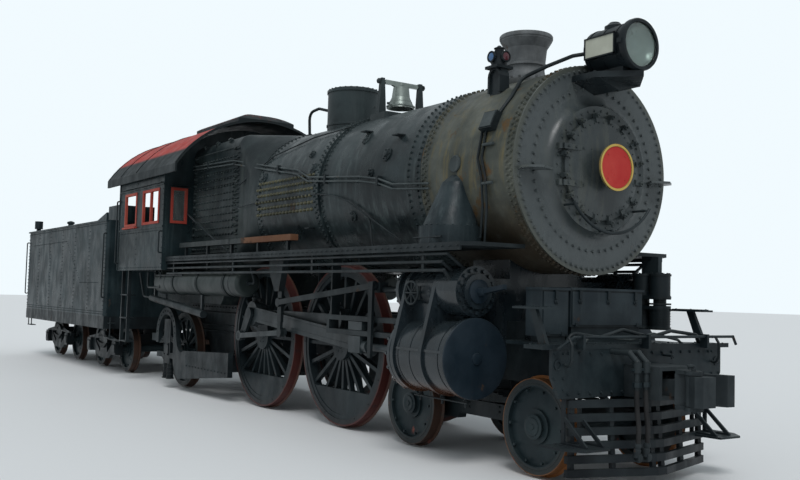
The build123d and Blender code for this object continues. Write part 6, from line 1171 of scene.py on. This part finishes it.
# Cab: flat steel sheets in teal-black, riveted along their edges, with red wooden sashes, a beaded
# belt rail, grab irons and an arched roof whose top is faded red between dark eaves.
cab_paint = weathered("cab_paint", (0.007, 0.013, 0.015), (0.015, 0.026, 0.030), rust_brown, rust_share=0.0,
                      streak_share=0.5, rough=(0.25, 0.5), streak_colour=(0.04, 0.06, 0.063), dust_and_skylight=0.3)
sash_paint = weathered("sash_paint", (0.30, 0.04, 0.028), (0.38, 0.08, 0.055), (0.14, 0.05, 0.03),
                       rust_share=0.15, dust_and_skylight=0.15, streak_share=0.3, rough=(0.5, 0.7))
roof_paint = weathered("roof_paint", (0.016, 0.021, 0.023), (0.035, 0.042, 0.045), (0.08, 0.04, 0.03),
                       rust_share=0.1, dust_and_skylight=0.0, rough=(0.45, 0.7),
                       zones=(("up", 0.66, 0.70, (0.40, 0.055, 0.045), 1.0),
                              ("x", 0.79, 0.81, (0.014, 0.019, 0.021), 1.0),
                              ("z", 4.6, 4.612, (0.014, 0.019, 0.021), 1.0)))
dress(cab_paint, "cab_body")
dress(sash_paint, "window_sashes")
dress(roof_paint, "cab_roof")
cab_fittings = bmesh.new()
cab_rear, cab_front, cab_side = -2.08, 0.23, 1.52
for side in (-1, 1):
    facing = (0, side, 0)
    face = side * cab_side
    edge_rows = line((cab_rear + 0.04, face, 2.06), (cab_front - 0.04, face, 2.06), 0.09, facing)
    edge_rows += line((cab_rear + 0.04, face, 3.60), (cab_front - 0.04, face, 3.60), 0.09, facing)
    for column_x in (cab_rear + 0.04, -1.09, cab_front - 0.04):
        edge_rows += line((column_x, face, 2.12), (column_x, face, 3.55), 0.09, facing)
    edge_rows += line((cab_rear + 0.13, face, 2.68), (cab_front - 0.13, face, 2.68), 0.09, facing)
    studs(cab_fittings, edge_rows, 0.022, 0.009, cab_paint)
    inner_y, outer_y = face - side * 0.004, face + side * 0.014
    bar(cab_fittings, (cab_rear, inner_y, 2.725), (cab_front, outer_y, 2.755))
    bar(cab_fittings, (cab_rear, inner_y, 3.44), (cab_front, outer_y, 3.465))
    bar(cab_fittings, (cab_rear, inner_y, 2.02), (cab_rear + 0.02, outer_y, 3.64))
    bar(cab_fittings, (cab_rear + 0.2, face - side * 0.002, 3.475),
        (cab_front - 0.05, face + side * 0.045, 3.487))
    bar(cab_fittings, (-1.76, face, 2.762), (-1.08, face + side * 0.05, 2.79), 1)
    for rail_x, rail_low, rail_high in ((cab_rear + 0.02, 2.15, 3.3), (cab_front - 0.02, 2.3, 2.66)):
        out = side * (cab_side + 0.055)
        pipes(cab_fittings, [[(rail_x, face, rail_low), (rail_x, out, rail_low), (rail_x, out, rail_high),
                              (rail_x, face, rail_high)]], 0.014, dark_iron, 2, bend=0.03)
    front_rows = line((cab_front, side * 1.48, 2.3), (cab_front, side * 1.48, 3.6), 0.09, forward)
    front_rows += line((cab_front, side * 1.06, 2.5), (cab_front, side * 1.06, 3.6), 0.09, forward)
    studs(cab_fittings, front_rows, 0.022, 0.009, cab_paint)
    visor_low, visor_high = sorted((side * 1.09, side * 1.42))
    plate(cab_fittings, [(cab_front, visor_low, 3.43), (cab_front, visor_high, 3.43),
                         (cab_front + 0.14, visor_high, 3.39), (cab_front + 0.14, visor_low, 3.39)],
          (0, 0, 0.008))
    pipes(cab_fittings, [[(-0.72, side * 1.40, 1.98), (-0.72, side * 1.40, 1.72), (-0.1, side * 1.40, 1.72),
                          (-0.1, side * 1.40, 1.98)], [(-1.2, side * 1.38, 1.98), (-1.2, side * 1.30, 1.56),
                                                       (-0.82, side * 1.29, 1.54)]], 0.018, dark_iron, 2)
    nuts(cab_fittings, line((cab_rear + 0.1, side * 1.505, 2.02), (cab_front, side * 1.505, 2.02), 0.15,
                            (0, side, -0.3)), 0.026, 0.012, dark_iron, 2)
roof_centre_z, roof_radius = 2.706, 1.894
rib_steps, rib_reach, hatch_half = 24, 57, 0.5
for rib_x, rib_width in ((-2.60, 0.05), (-1.90, 0.035), (-1.05, 0.035), (0.865, 0.035)):
    for i in range(rib_steps):
        angles = [radians(rib_reach * (2 * (i + j) / rib_steps - 1)) for j in (0, 1)]
        if -1.5 < rib_x < 0.8 and max(abs(sin(angle) * roof_radius) for angle in angles) < hatch_half:
            continue
        corners = [(rib_x, roof_radius * sin(angle), roof_centre_z + roof_radius * cos(angle) - 0.002)
                   for angle in angles]
        middle = sum(angles) / 2
        plate(cab_fittings, [corners[0], corners[1], (rib_x + rib_width, *corners[1][1:]),
                             (rib_x + rib_width, *corners[0][1:])],
              (0, 0.012 * sin(middle), 0.012 * cos(middle)), 3)
finished(cab_fittings, "cab_trim", "engine", [cab_paint, sash_paint, dark_iron, roof_paint])

# Cab inside: the riveted backhead with its gauges, water glasses, valves and the long throttle
# lever, and wooden seat boxes.
inside_paint = weathered("cab_inside_paint", (0.03, 0.034, 0.032), (0.06, 0.066, 0.06), rust_brown,
                         rust_share=0.2, rough=(0.4, 0.6))
dial_white = weathered("dial_white", (0.6, 0.6, 0.55), (0.7, 0.7, 0.64), (0.3, 0.25, 0.18), rust_share=0.08,
                       rough=(0.25, 0.4), grain=0.05, streak_share=0.15)
brass = weathered("brass_fittings", (0.38, 0.24, 0.07), (0.5, 0.34, 0.12), (0.12, 0.1, 0.05), rust_share=0.25,
                  metal=0.8, rough=(0.3, 0.5), shine=0.5, dust_and_skylight=0.1)
dress(inside_paint, "cab_fittings")
backhead = bmesh.new()
back_x = -0.8
for gauge_y in (-0.48, -0.23, 0.23, 0.48):
    turned(backhead, ((0, 0.095), (0, 0.104), (0.02, 0.104), (0.024, 0.088), (0, 0.095)),
           (back_x - 0.05, gauge_y, 3.42), rearward, 32, 1)
    disc(backhead, 0.088, 0.006, (back_x - 0.05, gauge_y, 3.42), rearward, 32, 2)
    bar(backhead, (back_x - 0.062, gauge_y - 0.003, 3.40), (back_x - 0.058, gauge_y + 0.003, 3.48))
    for tick in range(9):
        angle = radians(-120 + 30 * tick)
        disc(backhead, 0.004, 0.003, (back_x - 0.0562, gauge_y + 0.072 * sin(angle),
                                      3.42 + 0.072 * cos(angle)), rearward, 6)
for glass_y in (-0.34, 0.34):
    disc(backhead, 0.012, 0.26, (back_x - 0.075, glass_y, 2.9), upward, 12, 2)
    for nut_z in (2.88, 3.16):
        disc(backhead, 0.024, 0.03, (back_x - 0.075, glass_y, nut_z), upward, 6, 1)
        pipes(backhead, [[(back_x, glass_y, nut_z + 0.015), (back_x - 0.08, glass_y, nut_z + 0.015)]], 0.012,
              brass, 1, sides=8)
for valve_at_y, valve_at_z in ((-0.62, 3.1), (-0.15, 3.25), (0.15, 3.25), (0.62, 3.1), (-0.55, 2.75),
                               (0.55, 2.75)):
    wire_ring(backhead, 0.048, 0.007, (back_x - 0.13, valve_at_y, valve_at_z), rearward, 20)
    pipes(backhead, [[(back_x, valve_at_y, valve_at_z), (back_x - 0.13, valve_at_y, valve_at_z)],
                     [(back_x - 0.13, valve_at_y - 0.048, valve_at_z),
                      (back_x - 0.13, valve_at_y + 0.048, valve_at_z)],
                     [(back_x - 0.13, valve_at_y, valve_at_z - 0.048),
                      (back_x - 0.13, valve_at_y, valve_at_z + 0.048)]], 0.008, brass, 1, bend=0.0, sides=6)
pipes(backhead, [[(back_x - 0.03, y, 3.32), (back_x - 0.05, y * 1.2, 3.0), (back_x - 0.05, y * 1.3, 2.1)]
                 for y in (-0.48, -0.23, 0.23, 0.48)], 0.009, brass, 1)
bolt_rows = [((back_x, 0.93 * side, 2.2 + 0.1 * i), rearward) for side in (-1, 1) for i in range(18)]
bolt_rows += [((back_x, -0.9 + 0.1 * i, 3.98), rearward) for i in range(19)]
bolt_rows += [((back_x, -0.8 + 0.16 * i, 2.2 + 0.16 * j), rearward) for i in range(11) for j in range(11)
              if not (abs(-0.8 + 0.16 * i) < 0.36 and 2.2 < 2.2 + 0.16 * j < 2.76)]
studs(backhead, bolt_rows, 0.028, 0.012, inside_paint)
finished(backhead, "backhead_fittings", "engine", [inside_paint, brass, dial_white])

# Glass: the headlight's glass and the panes of the cab's front windows, both dull with old dust.
glass_finish = bpy.data.materials.new("dusty_glass")
glass_finish.use_nodes = True
glass_tree = glass_finish.node_tree
glass_shader = glass_tree.nodes["Principled BSDF"]
glass_shader.inputs["Transmission Weight"].default_value = 1.0
glass_shader.inputs["IOR"].default_value = 1.45
glass_where = glass_tree.nodes.new("ShaderNodeTexCoord")
glass_dust = glass_tree.nodes.new("ShaderNodeTexNoise")
glass_dust.inputs["Scale"].default_value = 6.0
glass_dust.inputs["Detail"].default_value = 6.0
glass_tree.links.new(glass_where.outputs["Object"], glass_dust.inputs["Vector"])
glass_spread = glass_tree.nodes.new("ShaderNodeMapRange")
for socket, number in (("From Min", 0.35), ("From Max", 0.75), ("To Min", 0.02), ("To Max", 0.08)):
    glass_spread.inputs[socket].default_value = number
glass_tree.links.new(glass_dust.outputs["Fac"], glass_spread.inputs["Value"])
glass_tree.links.new(glass_spread.outputs["Result"], glass_shader.inputs["Roughness"])
glass_tint = glass_tree.nodes.new("ShaderNodeMix")
glass_tint.data_type = "RGBA"
glass_tint.inputs[6].default_value = (0.92, 0.97, 0.95, 1)
glass_tint.inputs[7].default_value = (0.8, 0.86, 0.83, 1)
glass_tree.links.new(glass_dust.outputs["Fac"], glass_tint.inputs[0])
glass_tree.links.new(glass_tint.outputs[2], glass_shader.inputs["Base Color"])
dress(glass_finish, "glass")

# Tender: a riveted steel water tank in the same teal-black, on a channel frame, with grab irons at
# its corners, a ladder and a water hatch at the back, and lamps on the rear posts.
tender_paint = weathered("tender_paint", (0.009, 0.016, 0.019), (0.02, 0.033, 0.038), rust_brown,
                         rust_share=0.0, streak_share=0.5, rough=(0.25, 0.5),
                         streak_colour=(0.05, 0.072, 0.077), dust_and_skylight=0.35)
dress(tender_paint, "tender_tank")
dress(frame_paint, "tender_frame", "tender_truck_1", "tender_truck_2")
tender_fittings = bmesh.new()
tank_rear, tank_front, tank_side = -9.25, -2.88, 1.5
for side in (-1, 1):
    face, facing = side * tank_side, (0, side, 0)
    rows = []
    for row_z in (1.18, 1.225, 2.94):
        rows += line((tank_rear + 0.06, face, row_z), (tank_front - 0.06, face, row_z), 0.08, facing)
    for column_x in (tank_rear + 0.05, -8.2, -7.15, -6.1, -5.05, -4.0, tank_front - 0.05):
        for shift in (0.0, 0.045 if column_x < -6 else -0.045):
            rows += line((column_x + shift, face, 1.27), (column_x + shift, face, 2.9), 0.08, facing)
    seam_points = ((-8.76, 2.66), (-5.75, 2.68), (-4.59, 1.79), (-3.33, 1.79))
    for (x0, z0), (x1, z1) in zip(seam_points, seam_points[1:]):
        rows += line((x0, face, z0), (x1, face, z1), 0.08, facing)
    studs(tender_fittings, rows, 0.022, 0.009, tender_paint)
    bar(tender_fittings, (tank_rear, face - side * 0.02, 2.985), (tank_front, face + side * 0.022, 3.018))
    for rail_x in (tank_front - 0.03, tank_rear + 0.03):
        out = side * (tank_side + 0.05)
        pipes(tender_fittings, [[(rail_x, face, 1.5), (rail_x, out, 1.5), (rail_x, out, 2.75),
                                 (rail_x, face, 2.75)]], 0.014, dark_iron, 1, bend=0.03)
        for step_z in (0.72, 1.0):
            bar(tender_fittings, (rail_x - 0.17, side * 1.42, step_z),
                (rail_x + 0.17, side * 1.30, step_z + 0.02), 1)
        for leg_x in (-0.15, 0.15):
            pipes(tender_fittings, [[(rail_x + leg_x, side * 1.40, 1.12),
                                     (rail_x + leg_x, side * 1.40, 0.72)]], 0.012, dark_iron, 1)
    for lens_facing in (rearward, (0, side, 0)):
        turned(tender_fittings, ((0, 0), (0, 0.036), (0.012, 0.030), (0.018, 0)),
               Vector((-9.08, side * 1.33, 3.2)) + Vector(lens_facing) * 0.06, lens_facing, 20, 2)
for step in range(8):
    rung_z = 1.35 + 0.2 * step
    pipes(tender_fittings, [[(tank_rear, 0.95, rung_z), (tank_rear - 0.07, 0.95, rung_z),
                             (tank_rear - 0.07, 1.30, rung_z), (tank_rear, 1.30, rung_z)]], 0.012, dark_iron,
          1, bend=0.02)
studs(tender_fittings, line((tank_rear, -1.44, 1.18), (tank_rear, 1.44, 1.18), 0.08, rearward)
      + line((tank_rear, -1.44, 2.94), (tank_rear, 1.44, 2.94), 0.08, rearward), 0.022, 0.009, tender_paint)
for rear_column in (-1.44, -0.5, 0.5, 1.44):
    studs(tender_fittings, line((tank_rear, rear_column, 1.25), (tank_rear, rear_column, 2.9), 0.08,
                                rearward), 0.022, 0.009, tender_paint)
turned(tender_fittings, ((0, 0), (0, 0.30), (0.13, 0.30), (0.13, 0.32), (0.15, 0.32), (0.165, 0.30),
                         (0.175, 0)), (-8.3, 0, 3.0), upward, 40)
bar(tender_fittings, (-8.34, -0.36, 3.168), (-8.26, 0.36, 3.185), 1)
pipes(tender_fittings, [[(-8.3, 0.1, 3.18), (-8.3, 0.1, 3.23), (-8.3, -0.1, 3.23), (-8.3, -0.1, 3.18)]],
      0.012, dark_iron, 1, bend=0.02)
for vent_y in (-1.0, 1.0):
    turned(tender_fittings, ((0, 0), (0, 0.06), (0.16, 0.06), (0.17, 0.085), (0.21, 0.085), (0.235, 0.02),
                             (0.235, 0)), (-7.4, vent_y, 3.005), upward, 24)
finished(tender_fittings, "tender_tank_fittings", "tender", [tender_paint, dark_iron, red_lens])
for truck_number, truck_x in enumerate(tender_truck_xs, 1):
    truck_fittings = bmesh.new()
    for side in (-1, 1):
        face_y = side * 1.085
        for axle_x in (truck_x - tender_axle_reach, truck_x + tender_axle_reach):
            bar(truck_fittings, (axle_x - 0.085, face_y - side * 0.01, 0.40),
                (axle_x + 0.085, face_y + side * 0.012, 0.57))
            nuts(truck_fittings, [((axle_x + x, face_y + side * 0.012, 0.56), (0, side, 0))
                                  for x in (-0.06, 0.06)], 0.024, 0.012, frame_paint)
            nuts(truck_fittings, [((axle_x + x, face_y, 0.9), (0, side, 0)) for x in (-0.12, 0.12)], 0.034,
                 0.02, frame_paint)
        for number in range(6):
            half = 0.34 - 0.045 * number
            sag = 0.05 * (half / 0.34) ** 2
            for way, base_z in ((1, 0.52), (-1, 0.72)):
                leaf(truck_fittings, (truck_x, face_y - side * 0.09, base_z - way * 0.014 * number), half,
                     way * sag, 0.011, side * 0.07)
    truck_body = ("tender_truck_front", "tender_truck_rear")[truck_number - 1]
    finished(truck_fittings, "tender_truck_springs_%d" % truck_number, truck_body, [frame_paint])
